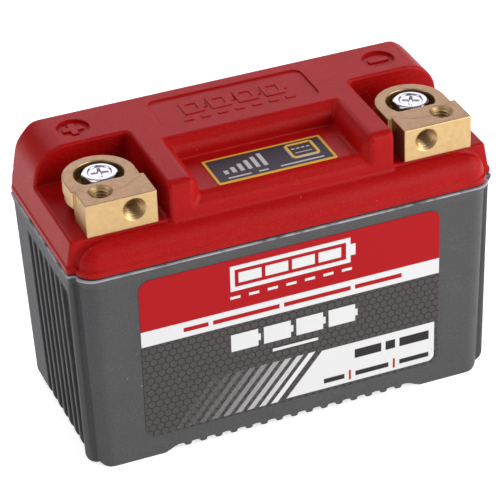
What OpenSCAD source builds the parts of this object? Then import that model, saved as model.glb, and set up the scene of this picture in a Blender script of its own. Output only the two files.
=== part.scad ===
// Motorcycle starter battery with a balancing board, a charge gauge and bolt-on terminal adapters.
// Millimetres. +Z is up, the front is -Y, the positive terminal is at -X.
// The origin is on the underside of the feet, at the middle of the length and the depth.

/* [Overall size] */
// Length over the end faces of the cover
battery_l = 134; // [134:0.5:137]
// Depth over the front and rear edges of the cover
battery_d = 62; // [62:0.5:64]
// Height from the feet to the top of the cover
battery_h = 90; // [90:0.1:91]
// Height of the cover's lower edge, where it meets the gasket
seam_z = 67.7; // [67.5:0.1:67.9]

/* [Case] */
// Thickness of the case walls
case_wall = 2.4; // [2:0.1:2.6]
// Height of the inside floor of the case
case_floor_z = 4; // [3.5:0.1:4]
// How far the walls lean out over the height of the case
case_draft = 1.4; // [1:0.1:1.6]
// Height of the arch between the two feet
arch_h = 2; // [1.5:0.1:2.4]
// Number of bars across the underside, between the feet
under_bars = 15; // [9:2:15]
// Number of upright grooves in each end face
end_grooves = 7; // [5:2:7]

/* [Cover] */
// Height of the pocket floor that the terminals stand on
pocket_z = 78.1; // [78:0.1:78.2]
// Half width of the centre block between the pockets
centre_half = 35; // [34:0.5:36]
// Height of the floor of the display recess
display_z = 83.4; // [83.3:0.1:83.5]
// Wall thickness of the cover
lid_wall = 2.4; // [2.2:0.1:2.6]

/* [Terminals] */
// Height of the top face of the terminal adapters
adapter_top_z = 88.8; // [88.6:0.1:89]
// Wall radius of the tapped holes for the cable bolts
tapped_r = 2.5; // [2.4:0.05:2.6]
// Depth of the tapped holes, countersink included
tapped_depth = 9; // [8:0.5:9]
// Radius of the shank of the screws that hold the adapters
shank_r = 2.95; // [2.9:0.01:2.97]
// Width across the flats of those screws
screw_af = 10; // [9:0.5:10]

/* [Gauge] */
// Travel of the test button
button_travel = 0.35; // [0.3:0.05:0.4]
// Number of bars on the gauge
gauge_bars = 6; // [4:1:6]

/* [Cells] */
// Diameter of one cell
cell_d = 25.9; // [25.5:0.1:26]
// Distance between neighbouring cells
cell_pitch = 28; // [27.5:0.1:28]
// Length of one cell over its two contacts
cell_l = 65; // [64.5:0.1:65]

/* [Hidden] */
$fn = 48;

// Outline of case and cover: a rounded main body with a narrower slab standing proud at each end
end_step = 2;
edge_main = [battery_l / 2 - end_step, battery_d / 2];
edge_slab = [battery_l / 2, battery_d / 2 - 5.5];
edge_r = 6;
slab_r = 1;
rim_overhang = 1;
wall_main = [edge_main.x - rim_overhang, edge_main.y - rim_overhang];
wall_slab = [edge_slab.x - rim_overhang, edge_slab.y - rim_overhang];
wall_r = 5;
foot_main = [wall_main.x - case_draft, wall_main.y - case_draft];
case_slab = [wall_slab.x + 0.45, wall_slab.y];
end_draft = case_draft + 1.2;

// Case heights
seal_t = 0.5;
rim_top_z = seam_z - seal_t;
rim_h = 3;
wall_top_z = rim_top_z - rim_h;
foot_r = 4;
foot_inner_x = 41.9;
arch_full_x = 37.5;
bar_pitch = 4.92;
bar_root_w = 3;
bar_low_w = 1.7;
bar_low_z = 0.9;
groove_pitch = 5.02;
groove_w = 3.2;
groove_depth = 1.6;
groove_top_z = 61.8;
groove_full_z = 56;
wide_groove_y = [-22.6, -16.1];
case_inner = [wall_main.x - case_wall, wall_main.y - case_wall];
inner_r = 3;

// Front label
label_t = 0.15;
label_half = [47.5, 27.75];
label_z = 35.15;
label_r = 3.5;

// Cover heights and places
flange_h = 2;
base_z = seam_z + 0.5;
end_lean = 9.9;
shoulder_r = 8.5;
pocket_rear_y = 8.2;
rear_top_y = 27;
rear_top_r = 2;
rear_lean = 6.7;
nose_r = 7;
nose_axis = [-(battery_d / 2 - 7.9), seam_z + 2.8];
block_front_y = -(battery_d / 2 - 5.34);
block_edge_r = 2.7;
skirt_outer = [case_inner.x - 0.3, case_inner.y - 0.3];
skirt_t = 1.6;
skirt_h = 3.4;
lid_inner = [skirt_outer.x - skirt_t, skirt_outer.y - skirt_t];
ceiling_z = pocket_z - 2.5;
rear_ceiling_z = battery_h - lid_wall;
rear_cavity_y = pocket_rear_y + lid_wall;
rear_cavity_half = 56;

// Display recess
display_half_x = 25;
display_y = [-22.8, -3.7];
display_chamfer = 3;
display_ceiling_z = display_z - 2.2;
gauge_cavity = [[-23, -20.5], [23, -6.1]];
symbol_at = [49, 16.8];
symbol_r = 4.9;
symbol_depth = 0.9;
symbol_bar = [6.4, 2.1, 0.55];
panel_half = [24.6, 9.1];
panel_y = 12.6;
panel_depth = 0.4;

// Terminals: the lug and the post plate are centred on lug_x, the block sits in front of them
lug_x = [-50.2, 47.7];
lug_y = -9.5;
lug_r = 10.75;
lug_z = adapter_top_z - 4.8;
block_x = 49.15;
block_w = 21.5;
block_y = [-25.2, -14.2];
counterbore_r = 7.3;
counterbore_chord_y = -13.7;
lug_lip = 0.8;
washer_t = 0.7;
washer_r = 5.4;
screw_head_h = 3;
screw_corner_r = 5.5;
cross_w = [4.4, 1.1];
cross_depth = 1.5;
shank_l = 9;
screw_shift = [0.65, 1.5];
screw_y = lug_y + screw_shift.y;
tapped_top = [53.2, -19.1];
tapped_front = [45.4, 84.3];
countersink_r = 3.6;
countersink_h = countersink_r - tapped_r;
fit_gap = 0.05;
post_stem_r = 4.9;
post_foot_r = 8;
post_plate_h = 2.6;
post_bottom_z = ceiling_z - 3;
post_seal_t = 1;
post_seal_r = 7.5;
nut_af = 15;
nut_h = 2.5;
strip_t = 0.3;

// Gauge
overlay_half = [18.6, 7.1];
overlay_y = -14.9;
overlay_t = 0.25;
button_at = [10.8, -13.6];
button_half = [4.55, 4.1];
button_r = 1.4;
button_rise = 0.5;
button_cap_h = 1;
button_flange = 0.5;
button_flange_h = 0.4;
stem_r = 1.5;
stem_bottom_z = display_ceiling_z - 0.3;
first_guide_x = -14.1;
guide_pitch = 2.43;
guide_y = -14;
guide_r = 0.8;
gauge_board_z = display_ceiling_z - 4.2;
board_t = 1.6;
gauge_board_half = [21.5, 6.8];
gauge_board_y = -13.3;
gauge_screws = [[-19.2, -8.6], [19.2, -18.2]];
boss_r = 2;
plunger_r = 1.7;
plunger_h = 0.8;
switch_h = 1.9;
led = [1.4, 1.2, 0.7];

// Cells stand between two holders, with every second cell upside down
cell_r = cell_d / 2;
sleeve_t = 0.12;
cell_z = case_floor_z + 2.5;
cell_top_z = cell_z + cell_l;
contact_h = 0.5;
contact_r = 4.5;
hole_r = cell_r + sleeve_t + 0.15;
lower_holder_z = [case_floor_z, case_floor_z + 6];
upper_holder_z = [cell_top_z - 5, cell_top_z - 0.2];
lead_hole_at = [cell_pitch, 11.5];
lead_hole_r = 1.2;
lead_r = 0.45;
foam_z = [12, 62];

// Balancing board hangs in the rear block of the cover
bms_z = 78.5;
bms_half = [46, 6.8];
bms_y = 17.65;
bms_screws = [-43, 43];
lead_run_z = 73;
lead_lanes_y = 12.6;
pin_x = [for (i = [0:4]) -38 + 2 * i];

function is_up(i) = i % 2 == 0;
function cell_x(i) = (i - 1.5) * cell_pitch;
function guide_x(i) = first_guide_x + i * guide_pitch;
function side_x(s) = s < 0 ? lug_x[0] : lug_x[1];
function screw_x(s) = side_x(s) + screw_shift.x;

// ---- shared shapes ----

module rounded_rect(half, r) {
    square([2 * half.x, 2 * (half.y - r)], center = true);
    square([2 * (half.x - r), 2 * half.y], center = true);
    for (sx = [-1, 1], sy = [-1, 1])
        translate([sx * (half.x - r), sy * (half.y - r)]) circle(r = r);
}

// Lays a profile drawn in X and Z, or in Y and Z, and extrudes it across the whole battery
module along_y(length = 200) rotate([90, 0, 0]) linear_extrude(length, center = true) children();
module along_x(length = 200) rotate([90, 0, 90]) linear_extrude(length, center = true) children();

// Side view with leaning walls and rounded lower corners
module leaning_profile(low, top, h, r = 0) {
    right = r > 0
        ? [for (a = [0:15:90]) [low - r + r * sin(a), r - r * cos(a)]]
        : [[low, 0]];
    left = [for (i = [len(right) - 1:-1:0]) [-right[i].x, right[i].y]];
    polygon(concat(right, [[top, h], [-top, h]], left));
}

// Block with leaning sides, rounded upright corners and rounded lower ends
module leaning_block(low, top, h, r, low_r = 0) {
    intersection() {
        linear_extrude(h) rounded_rect(top, r);
        along_y() leaning_profile(low.x, top.x, h, low_r);
        along_x() leaning_profile(low.y, top.y, h);
    }
}

module tapped_hole(depth) {
    translate([0, 0, -depth]) cylinder(r = tapped_r, h = depth + 0.01);
    translate([0, 0, -countersink_h]) cylinder(r1 = tapped_r, r2 = countersink_r, h = countersink_h);
    cylinder(r = countersink_r, h = 1);
}

module rod(from, to, r) {
    d = to - from;
    len = norm(d);
    translate(from) rotate([0, acos(d.z / len), atan2(d.y, d.x)]) cylinder(r = r, h = len);
}

module lead(route) {
    for (i = [0:len(route) - 2]) rod(route[i], route[i + 1], lead_r);
    for (i = [1:len(route) - 2]) translate(route[i]) sphere(r = lead_r * 1.08);
}

module ring(outer_r, inner_r, h) linear_extrude(h) difference() {
    circle(r = outer_r);
    circle(r = inner_r);
}

module hexagon(af) circle(d = af / cos(30), $fn = 6);

// ---- case ----

module case_outside() {
    leaning_block(foot_main, wall_main, wall_top_z, wall_r, foot_r);
    leaning_block([case_slab.x - end_draft, case_slab.y], case_slab, wall_top_z, slab_r, foot_r);
    // strip that stands prouder along the front edge of each end face
    intersection() {
        leaning_block([case_slab.x - case_draft, case_slab.y], case_slab, wall_top_z, slab_r, foot_r);
        translate([-100, -50, 0]) cube([200, 50 + wide_groove_y[0], wall_top_z]);
    }
    translate([0, 0, wall_top_z]) {
        leaning_block(wall_main, edge_main, rim_h, edge_r);
        leaning_block(case_slab, edge_slab, rim_h, slab_r);
    }
}

module arch() {
    along_y() polygon([
        [-foot_inner_x, -1], [-foot_inner_x, 0], [-arch_full_x, arch_h],
        [arch_full_x, arch_h], [foot_inner_x, 0], [foot_inner_x, -1]
    ]);
}

module under_bar_set() {
    for (i = [0:under_bars - 1])
        translate([(i - (under_bars - 1) / 2) * bar_pitch, 0, 0])
            along_y(2 * foot_main.y - 0.2) polygon([
                [-bar_low_w / 2, bar_low_z], [bar_low_w / 2, bar_low_z],
                [bar_root_w / 2, arch_h], [-bar_root_w / 2, arch_h]
            ]);
}

// Side view of one groove in the face at either end: it runs out at the top and through the foot
module groove_profile(side) {
    function face(z) = case_slab.x - end_draft * (1 - z / wall_top_z);
    outside = case_slab.x + 3;
    edge = [
        [face(0) - groove_depth, -1], [face(0) - groove_depth, 0],
        [face(groove_full_z) - groove_depth, groove_full_z], [face(groove_top_z) + 0.1, groove_top_z],
        [outside, groove_top_z], [outside, -1]
    ];
    polygon([for (p = edge) [side * p.x, p.y]]);
}

module end_groove_set() {
    first_y = wide_groove_y[1] + groove_pitch - groove_w / 2;
    for (side = [-1, 1]) {
        for (i = [0:end_grooves - 2])
            translate([0, first_y + i * groove_pitch, 0]) along_y(groove_w) groove_profile(side);
        translate([0, (wide_groove_y[0] + wide_groove_y[1]) / 2, 0])
            along_y(wide_groove_y[1] - wide_groove_y[0]) groove_profile(side);
    }
}

module case() {
    low_inner = [foot_main.x - case_wall, foot_main.y - case_wall];
    color([0.16, 0.16, 0.17]) {
        difference() {
            case_outside();
            translate([0, 0, case_floor_z])
                leaning_block(low_inner, case_inner, wall_top_z - case_floor_z, inner_r);
            translate([0, 0, wall_top_z - 0.01]) linear_extrude(rim_h + 1) rounded_rect(case_inner, inner_r);
            arch();
            end_groove_set();
        }
        under_bar_set();
    }
}

module case_seal() {
    color([0.05, 0.05, 0.05]) translate([0, 0, rim_top_z]) linear_extrude(seal_t) difference() {
        union() {
            rounded_rect([edge_main.x - 0.8, edge_main.y - 0.8], edge_r - 0.8);
            rounded_rect([edge_slab.x - 0.8, edge_slab.y - 0.8], 0.5);
        }
        rounded_rect([case_inner.x + 0.3, case_inner.y + 0.3], inner_r);
    }
}

module front_label() {
    lean = atan(case_draft / wall_top_z);
    color([0.75, 0.1, 0.12])
        translate([0, -foot_main.y, 0]) rotate([lean, 0, 0]) rotate([90, 0, 0])
            linear_extrude(label_t) translate([0, label_z]) rounded_rect(label_half, label_r);
}

// ---- cover ----

// End view of the cover: leaning end faces with a rounded shoulder at the top
module shoulder_profile(top) {
    lean_z = seam_z + flange_h - 0.2;
    arc_z = battery_h - shoulder_r;
    arc_x = wall_slab.x - tan(end_lean) * (arc_z - lean_z) - shoulder_r / cos(end_lean);
    arc = [for (i = [0:10]) let (a = end_lean + i * (90 - end_lean) / 10)
        [arc_x + shoulder_r * cos(a), arc_z + shoulder_r * sin(a)]];
    right = concat([[wall_slab.x, base_z], [wall_slab.x, lean_z]], arc, [[0, battery_h]]);
    left = [for (i = [len(right) - 2:-1:0]) [-right[i].x, right[i].y]];
    intersection() {
        polygon(concat(right, left));
        translate([-100, 0]) square([200, top]);
    }
}

module lid_nose() {
    intersection() {
        translate([0, 0, base_z]) linear_extrude(pocket_z - base_z) rounded_rect(wall_main, wall_r);
        along_x() union() {
            translate([nose_axis.x, seam_z])
                square([pocket_rear_y + 5 - nose_axis.x, pocket_z - seam_z]);
            translate(nose_axis) circle(r = nose_r);
            translate([nose_axis.x - nose_r, seam_z]) square([nose_r, nose_axis.y - seam_z]);
        }
        along_y() shoulder_profile(pocket_z);
    }
}

module lid_end_slabs() {
    intersection() {
        translate([0, 0, base_z]) linear_extrude(battery_h - base_z) rounded_rect(wall_slab, slab_r);
        along_y() shoulder_profile(pocket_z);
    }
}

// Side view of the rear block: upright front, leaning rear face and rounded top edge
module rear_block_side() {
    centre = [rear_top_y - rear_top_r, battery_h - rear_top_r];
    edge = [for (i = [0:6]) let (a = rear_lean + (90 - rear_lean) * i / 6)
        centre + rear_top_r * [cos(a), sin(a)]];
    foot_y = edge[0].x + (edge[0].y - base_z) * tan(rear_lean);
    polygon(concat([[pocket_rear_y, base_z], [foot_y, base_z]], edge, [[pocket_rear_y, battery_h]]));
}

module lid_rear_block() {
    intersection() {
        translate([0, 0, base_z]) linear_extrude(battery_h - base_z) union() {
            rounded_rect(wall_main, wall_r);
            rounded_rect(wall_slab, slab_r);
        }
        along_y() shoulder_profile(battery_h);
        along_x() rear_block_side();
    }
}

module lid_centre_block() {
    depth = pocket_rear_y + 1 - block_front_y;
    intersection() {
        translate([-centre_half, block_front_y, pocket_z - 2])
            cube([2 * centre_half, depth, battery_h - pocket_z + 2]);
        along_x() union() {
            translate([block_front_y, 0]) square([depth, battery_h - block_edge_r]);
            translate([block_front_y + block_edge_r, 0]) square([depth - block_edge_r, battery_h]);
            translate([block_front_y + block_edge_r, battery_h - block_edge_r]) circle(r = block_edge_r);
        }
    }
}

// The recess is open to the front over a sloping sill, with a sloping edge all round
module display_recess() {
    c = display_chamfer;
    x0 = display_half_x;
    up = battery_h - display_z + 1;
    difference() {
        translate([-x0 - c, block_front_y - 1, 0])
            cube([2 * (x0 + c), display_y[1] + c - block_front_y + 1, battery_h + 1]);
        // floor and sloping sill
        along_x() polygon([
            [block_front_y - 5, 0], [30, 0], [30, display_z], [display_y[0], display_z],
            [block_front_y, display_z - 3.14], [block_front_y - 5, display_z - 3.14]
        ]);
        // back wall with its sloping upper edge
        along_x() polygon([
            [display_y[1], 0], [30, 0], [30, battery_h + 2], [display_y[1] + c + 2, battery_h + 2],
            [display_y[1] + c, battery_h], [display_y[1], battery_h - c]
        ]);
        // side walls with their sloping upper and front edges
        for (s = [-1, 1]) {
            intersection() {
                along_y() polygon([
                    [s * x0, 0], [s * 60, 0], [s * 60, battery_h + 2], [s * (x0 + c + 2), battery_h + 2],
                    [s * (x0 + c), battery_h], [s * x0, battery_h - c]
                ]);
                linear_extrude(battery_h + 5) polygon([
                    [s * x0, 30], [s * x0, display_y[0]], [s * (x0 + c), block_front_y],
                    [s * 60, block_front_y], [s * 60, 30]
                ]);
            }
        }
    }
}

module lid_symbols() {
    for (s = [-1, 1]) translate([s * symbol_at.x, symbol_at.y, battery_h - symbol_depth]) difference() {
        cylinder(r = symbol_r, h = 2);
        cube([symbol_bar.x, symbol_bar.y, 2 * symbol_bar.z], center = true);
        if (s < 0) cube([symbol_bar.y, symbol_bar.x, 2 * symbol_bar.z], center = true);
    }
}

module lid_cavities() {
    // inside of the skirt and of the cover's base
    translate([0, 0, seam_z - skirt_h - 1]) linear_extrude(skirt_h + 1.5) rounded_rect(lid_inner, inner_r);
    translate([-lid_inner.x, -lid_inner.y + 1, seam_z])
        cube([2 * lid_inner.x, 2 * lid_inner.y - 2, ceiling_z - seam_z]);
    // room for the balancing board inside the rear block
    translate([-rear_cavity_half, rear_cavity_y, seam_z])
        cube([2 * rear_cavity_half, lid_inner.y - 1 - rear_cavity_y, rear_ceiling_z - seam_z]);
    // room for the gauge board under the display
    translate([gauge_cavity[0].x, gauge_cavity[0].y, seam_z])
        cube([
            gauge_cavity[1].x - gauge_cavity[0].x,
            gauge_cavity[1].y - gauge_cavity[0].y,
            display_ceiling_z - seam_z
        ]);
}

module lid_bosses() {
    for (p = gauge_screws)
        translate([p.x, p.y, gauge_board_z + board_t])
            difference() {
                cylinder(r = boss_r, h = display_ceiling_z - gauge_board_z - board_t + 0.2);
                translate([0, 0, -0.01]) cylinder(r = 0.85, h = 2);
            }
    for (x = bms_screws)
        translate([x, bms_y, bms_z + board_t])
            difference() {
                cylinder(r = 2.6, h = rear_ceiling_z - bms_z - board_t + 0.2);
                translate([0, 0, -0.01]) cylinder(r = 1.3, h = 5);
            }
}

module lid_through_holes() {
    for (s = [-1, 1]) translate([screw_x(s), screw_y, 0]) {
        translate([0, 0, ceiling_z - 1]) cylinder(r = post_stem_r + fit_gap, h = 10);
        translate([0, 0, pocket_z - post_seal_t]) cylinder(r = post_seal_r + fit_gap, h = 5);
    }
    // button pocket and stem hole
    translate([button_at.x, button_at.y, display_z - 1.2 + 0.2])
        linear_extrude(3) rounded_rect([button_half.x + 0.8, button_half.y + 0.8], button_r);
    translate([button_at.x, button_at.y, display_z - 4]) cylinder(r = stem_r + 0.08, h = 8);
    for (i = [0:gauge_bars - 1])
        translate([guide_x(i), guide_y, display_z - 4]) cylinder(r = guide_r + fit_gap, h = 8);
}

module lid() {
    color([0.72, 0.06, 0.08]) {
        difference() {
            union() {
                translate([0, 0, seam_z]) linear_extrude(flange_h) union() {
                    rounded_rect(edge_main, edge_r);
                    rounded_rect(edge_slab, slab_r);
                }
                translate([0, 0, seam_z - skirt_h]) linear_extrude(skirt_h + 0.1)
                    rounded_rect(skirt_outer, inner_r);
                lid_nose();
                lid_end_slabs();
                lid_rear_block();
                lid_centre_block();
            }
            lid_cavities();
            display_recess();
            lid_symbols();
            translate([0, panel_y, battery_h - panel_depth]) linear_extrude(2) rounded_rect(panel_half, 3);
            lid_through_holes();
        }
        lid_bosses();
    }
}

// ---- terminals; s is -1 for the positive side and 1 for the negative side ----

module lug_outline(s, r) {
    translate([side_x(s), lug_y]) circle(r = r);
}

module terminal_adapter(s) {
    color([0.78, 0.62, 0.38]) difference() {
        union() {
            translate([s * block_x - block_w / 2, block_y[0], pocket_z + 0.1])
                cube([block_w, block_y[1] - block_y[0], adapter_top_z - pocket_z - 0.1]);
            translate([0, 0, lug_z]) linear_extrude(adapter_top_z - lug_z) {
                lug_outline(s, lug_r);
                translate([side_x(s) - lug_r, -16.2]) square([2 * lug_r, lug_y + 16.2]);
            }
        }
        intersection() {
            translate([side_x(s), lug_y + 0.3, lug_z + lug_lip]) cylinder(r = counterbore_r, h = 10);
            translate([side_x(s) - 20, counterbore_chord_y, 0]) cube([40, 40, 100]);
        }
        translate([screw_x(s), screw_y, lug_z - 1]) cylinder(r = 3.3, h = 5);
        translate([s * tapped_top.x, tapped_top.y, adapter_top_z]) tapped_hole(tapped_depth);
        translate([s * tapped_front.x, block_y[0], tapped_front.y]) rotate([90, 0, 0])
            tapped_hole(tapped_depth);
    }
}

module terminal_post(s) {
    color([0.74, 0.58, 0.34]) difference() {
        union() {
            translate([0, 0, lug_z - post_plate_h]) linear_extrude(post_plate_h) intersection() {
                lug_outline(s, lug_r - 0.4);
                translate([side_x(s) - 20, block_y[1] + 0.1]) square([40, 40]);
            }
            translate([screw_x(s), screw_y, 0]) {
                translate([0, 0, pocket_z]) intersection() {
                    cylinder(r = post_foot_r, h = lug_z - pocket_z - 0.1);
                    translate([-20, block_y[1] + 0.1 - screw_y, 0]) cube([40, 40, 40]);
                }
                translate([0, 0, post_bottom_z])
                    cylinder(r = post_stem_r, h = pocket_z - post_bottom_z + 0.1);
            }
        }
        translate([screw_x(s), screw_y, post_bottom_z + 2]) cylinder(r = shank_r + fit_gap, h = 20);
    }
}

module adapter_screw(s) {
    turned = s < 0 ? -9 : -27;
    color([0.8, 0.8, 0.82])
        translate([screw_x(s), screw_y, lug_z + lug_lip + washer_t]) rotate([0, 0, turned]) difference() {
            union() {
                linear_extrude(screw_head_h) intersection() {
                    hexagon(screw_af);
                    circle(r = screw_corner_r);
                }
                translate([0, 0, -shank_l]) cylinder(r = shank_r, h = shank_l + 0.1);
            }
            for (a = [0, 90])
                translate([0, 0, screw_head_h])
                    rotate([0, 0, a]) cube([cross_w.x, cross_w.y, 2 * cross_depth], center = true);
        }
}

module screw_washer(s) {
    color([0.75, 0.75, 0.77])
        translate([screw_x(s), screw_y, lug_z + lug_lip]) ring(washer_r, shank_r + fit_gap, washer_t);
}

module post_seal(s) {
    color([0.08, 0.08, 0.08])
        translate([screw_x(s), screw_y, pocket_z - post_seal_t])
            ring(post_seal_r, post_stem_r + fit_gap, post_seal_t);
}

module post_nut(s) {
    color([0.76, 0.6, 0.36])
        translate([screw_x(s), screw_y, ceiling_z - strip_t - nut_h]) linear_extrude(nut_h) difference() {
            hexagon(nut_af);
            circle(r = post_stem_r + fit_gap);
        }
}

// Flat stretch of a strip, from its upright leg out to end_x
module strip_plate(s, leg_x, end_x, y_range, z) {
    length = end_x - leg_x + strip_t / 2;
    translate([s * (leg_x - strip_t / 2 + length / 2), (y_range[0] + y_range[1]) / 2, z + strip_t / 2])
        cube([length, y_range[1] - y_range[0], strip_t], center = true);
}

// Strip from an end cell up to the post, where the nut clamps it to the cover
module bus_bar(s) {
    leg_x = 38.15;
    color([0.8, 0.8, 0.78]) difference() {
        union() {
            strip_plate(s, leg_x, 56, [-14, -3], ceiling_z - strip_t);
            translate([s * leg_x - strip_t / 2, -9, cell_top_z]) cube([strip_t, 6, ceiling_z - cell_top_z]);
            strip_plate(s, leg_x, 47, [-9, 4], cell_top_z);
        }
        translate([screw_x(s), screw_y, ceiling_z - 1]) cylinder(r = post_stem_r + fit_gap, h = 2);
    }
}

// ---- charge gauge ----

module gauge_overlay() {
    color([0.1, 0.09, 0.1]) translate([0, 0, display_z]) linear_extrude(overlay_t) difference() {
        translate([0, overlay_y]) rounded_rect(overlay_half, 0.6);
        translate(button_at) rounded_rect([button_half.x + 0.15, button_half.y + 0.15], button_r + 0.1);
    }
}

module test_button() {
    cap_z = display_z + button_rise - button_cap_h;
    flange_half = [button_half.x + button_flange, button_half.y + button_flange];
    color([0.12, 0.11, 0.12]) translate([button_at.x, button_at.y, 0]) {
        translate([0, 0, cap_z]) linear_extrude(button_cap_h) rounded_rect(button_half, button_r);
        translate([0, 0, cap_z]) linear_extrude(button_flange_h) rounded_rect(flange_half, button_r);
        translate([0, 0, stem_bottom_z]) cylinder(r = stem_r, h = cap_z - stem_bottom_z + 0.1);
    }
}

module switch_plunger() {
    color([0.9, 0.9, 0.85])
        translate([button_at.x, button_at.y, stem_bottom_z - plunger_h])
            cylinder(r = plunger_r, h = plunger_h);
}

module tact_switch() {
    color([0.2, 0.2, 0.22]) translate([button_at.x, button_at.y, gauge_board_z + board_t]) difference() {
        translate([-3, -3, 0]) cube([6, 6, switch_h]);
        translate([0, 0, switch_h - 1.1]) cylinder(r = plunger_r + 0.08, h = 2);
    }
}

module gauge_board() {
    color([0.05, 0.3, 0.15]) translate([0, gauge_board_y, gauge_board_z]) difference() {
        linear_extrude(board_t) square([2 * gauge_board_half.x, 2 * gauge_board_half.y], center = true);
        for (p = gauge_screws) translate([p.x, p.y - gauge_board_y, -1]) cylinder(r = 1.1, h = 4);
    }
}

module gauge_leds() {
    color([0.9, 0.95, 0.8])
        for (i = [0:gauge_bars - 1])
            translate([guide_x(i) - led.x / 2, guide_y - led.y / 2, gauge_board_z + board_t]) cube(led);
}

module light_guides() {
    z0 = gauge_board_z + board_t + led.z + 0.1;
    color([0.85, 0.85, 0.85])
        for (i = [0:gauge_bars - 1])
            translate([guide_x(i), guide_y, z0]) cylinder(r = guide_r, h = display_z - z0);
}

module gauge_board_screws() {
    color([0.7, 0.7, 0.72]) for (p = gauge_screws) translate([p.x, p.y, gauge_board_z]) {
        cylinder(r = 0.8, h = board_t + 1.8);
        translate([0, 0, -1]) cylinder(r = 1.8, h = 1);
    }
}

module gauge_leads() {
    low_z = ceiling_z - 1.2;
    color([0.1, 0.1, 0.1]) for (x = [-2, 2])
        lead([[x, -8, gauge_board_z], [x, -8, low_z], [x, bms_y - 6, low_z], [x, bms_y - 6, bms_z]]);
}

// ---- cells ----

module cell(i) {
    color([0.75, 0.75, 0.77]) translate([cell_x(i), 0, cell_z]) {
        translate([0, 0, is_up(i) ? 0 : contact_h]) cylinder(r = cell_r, h = cell_l - contact_h);
        translate([0, 0, is_up(i) ? cell_l - contact_h - 0.1 : 0])
            cylinder(r = contact_r, h = contact_h + 0.1);
    }
}

module sleeve(i) {
    color([0.1, 0.35, 0.65])
        translate([cell_x(i), 0, cell_z + (is_up(i) ? 0 : contact_h)])
            linear_extrude(cell_l - contact_h) difference() {
                circle(r = cell_r + sleeve_t);
                circle(r = cell_r);
            }
}

module cell_insulators() {
    color([0.9, 0.9, 0.88]) for (i = [0:3])
        translate([cell_x(i), 0, is_up(i) ? cell_top_z - contact_h : cell_z + contact_h - 0.2])
            linear_extrude(0.2) difference() {
                circle(r = 9);
                circle(r = contact_r + 0.3);
            }
}

// Plate with a seat for each cell, from seat_z up, and two small holes for the balance leads
module holder_plate(half, z_range, seat_z) {
    difference() {
        translate([0, 0, z_range[0]]) linear_extrude(z_range[1] - z_range[0]) rounded_rect(half, 2.5);
        for (i = [0:3]) translate([cell_x(i), 0, seat_z]) cylinder(r = hole_r, h = 20);
        for (s = [-1, 1])
            translate([s * lead_hole_at.x, lead_hole_at.y, seat_z]) cylinder(r = lead_hole_r, h = 20);
    }
}

module lower_cell_holder() {
    half = [foot_main.x - case_wall - 0.5, foot_main.y - case_wall - 0.5];
    seat_z = cell_z - strip_t;
    color([0.12, 0.12, 0.13]) difference() {
        holder_plate(half, lower_holder_z, seat_z);
        for (s = [-1, 1]) translate([s * cell_pitch, 0, seat_z]) {
            translate([-4, -5.5, 0]) cube([8, 11, strip_t + 0.2]);
            translate([-2, 0, 0]) cube([4, 13.5, strip_t + 0.2]);
        }
    }
}

module upper_cell_holder() {
    half = [lid_inner.x - 0.6, lid_inner.y - 1.6];
    color([0.12, 0.12, 0.13]) holder_plate(half, upper_holder_z, upper_holder_z[0] - 1);
}

module lower_link(s) {
    color([0.78, 0.78, 0.75]) translate([s * cell_pitch, 0, cell_z - strip_t]) {
        translate([-17, -5, 0]) cube([34, 10, strip_t]);
        translate([-1.5, 0, 0]) cube([3, 13, strip_t]);
    }
}

module upper_link() {
    color([0.78, 0.78, 0.75]) translate([-17, -5, cell_top_z]) cube([34, 10, strip_t]);
}

module foam_pad(s) {
    inner_y = cell_r + sleeve_t + 0.5;
    outer_y = case_inner.y - case_draft - 0.4;
    color([0.15, 0.15, 0.15]) translate([-56, s > 0 ? inner_y : -outer_y, foam_z[0]])
        cube([112, outer_y - inner_y, foam_z[1] - foam_z[0]]);
}

// ---- balancing board ----

module bms_board() {
    color([0.05, 0.3, 0.15]) translate([0, bms_y, bms_z]) difference() {
        linear_extrude(board_t) square([2 * bms_half.x, 2 * bms_half.y], center = true);
        for (x = bms_screws) translate([x, 0, -1]) cylinder(r = 1.7, h = 4);
    }
}

module bms_mosfets() {
    chip = [5, 6, 1.2];
    color([0.08, 0.08, 0.08]) for (i = [0:3]) translate([6 + i * 7.5, bms_y - 2, bms_z - chip.z]) cube(chip);
}

module bms_small_parts() {
    color([0.25, 0.2, 0.15]) {
        for (i = [0:7]) translate([-30 + i * 8, bms_y + 4.5, bms_z + board_t]) cube([2, 1.2, 0.8]);
        translate([-12, bms_y - 4, bms_z + board_t]) cube([6, 6, 1]);
        translate([24, bms_y - 4, bms_z + board_t]) cylinder(r = 2.5, h = 4);
    }
}

module bms_board_screws() {
    color([0.7, 0.7, 0.72]) for (x = bms_screws) translate([x, bms_y, bms_z]) {
        cylinder(r = 1.25, h = board_t + 4);
        translate([0, 0, -1.6]) cylinder(r = 2.5, h = 1.6);
    }
}

module balance_connector() {
    color([0.92, 0.92, 0.88]) translate([-39, lead_lanes_y - 0.8, bms_z - 3.6]) cube([10, 5.6, 3.6]);
}

module balance_leads() {
    goals = [
        [-42, 2, cell_top_z + strip_t], [-lead_hole_at.x, lead_hole_at.y, cell_z],
        [0, 3, cell_top_z + strip_t], [lead_hole_at.x, lead_hole_at.y, cell_z], [42, 2, cell_top_z + strip_t]
    ];
    color([0.7, 0.1, 0.1]) for (i = [0:4]) {
        y = lead_lanes_y + i;
        goal = goals[i];
        lead([
            [pin_x[i], y, bms_z - 3.6], [pin_x[i], y, lead_run_z], [goal.x, y, lead_run_z],
            [goal.x, goal.y, lead_run_z], goal
        ]);
    }
}

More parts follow.
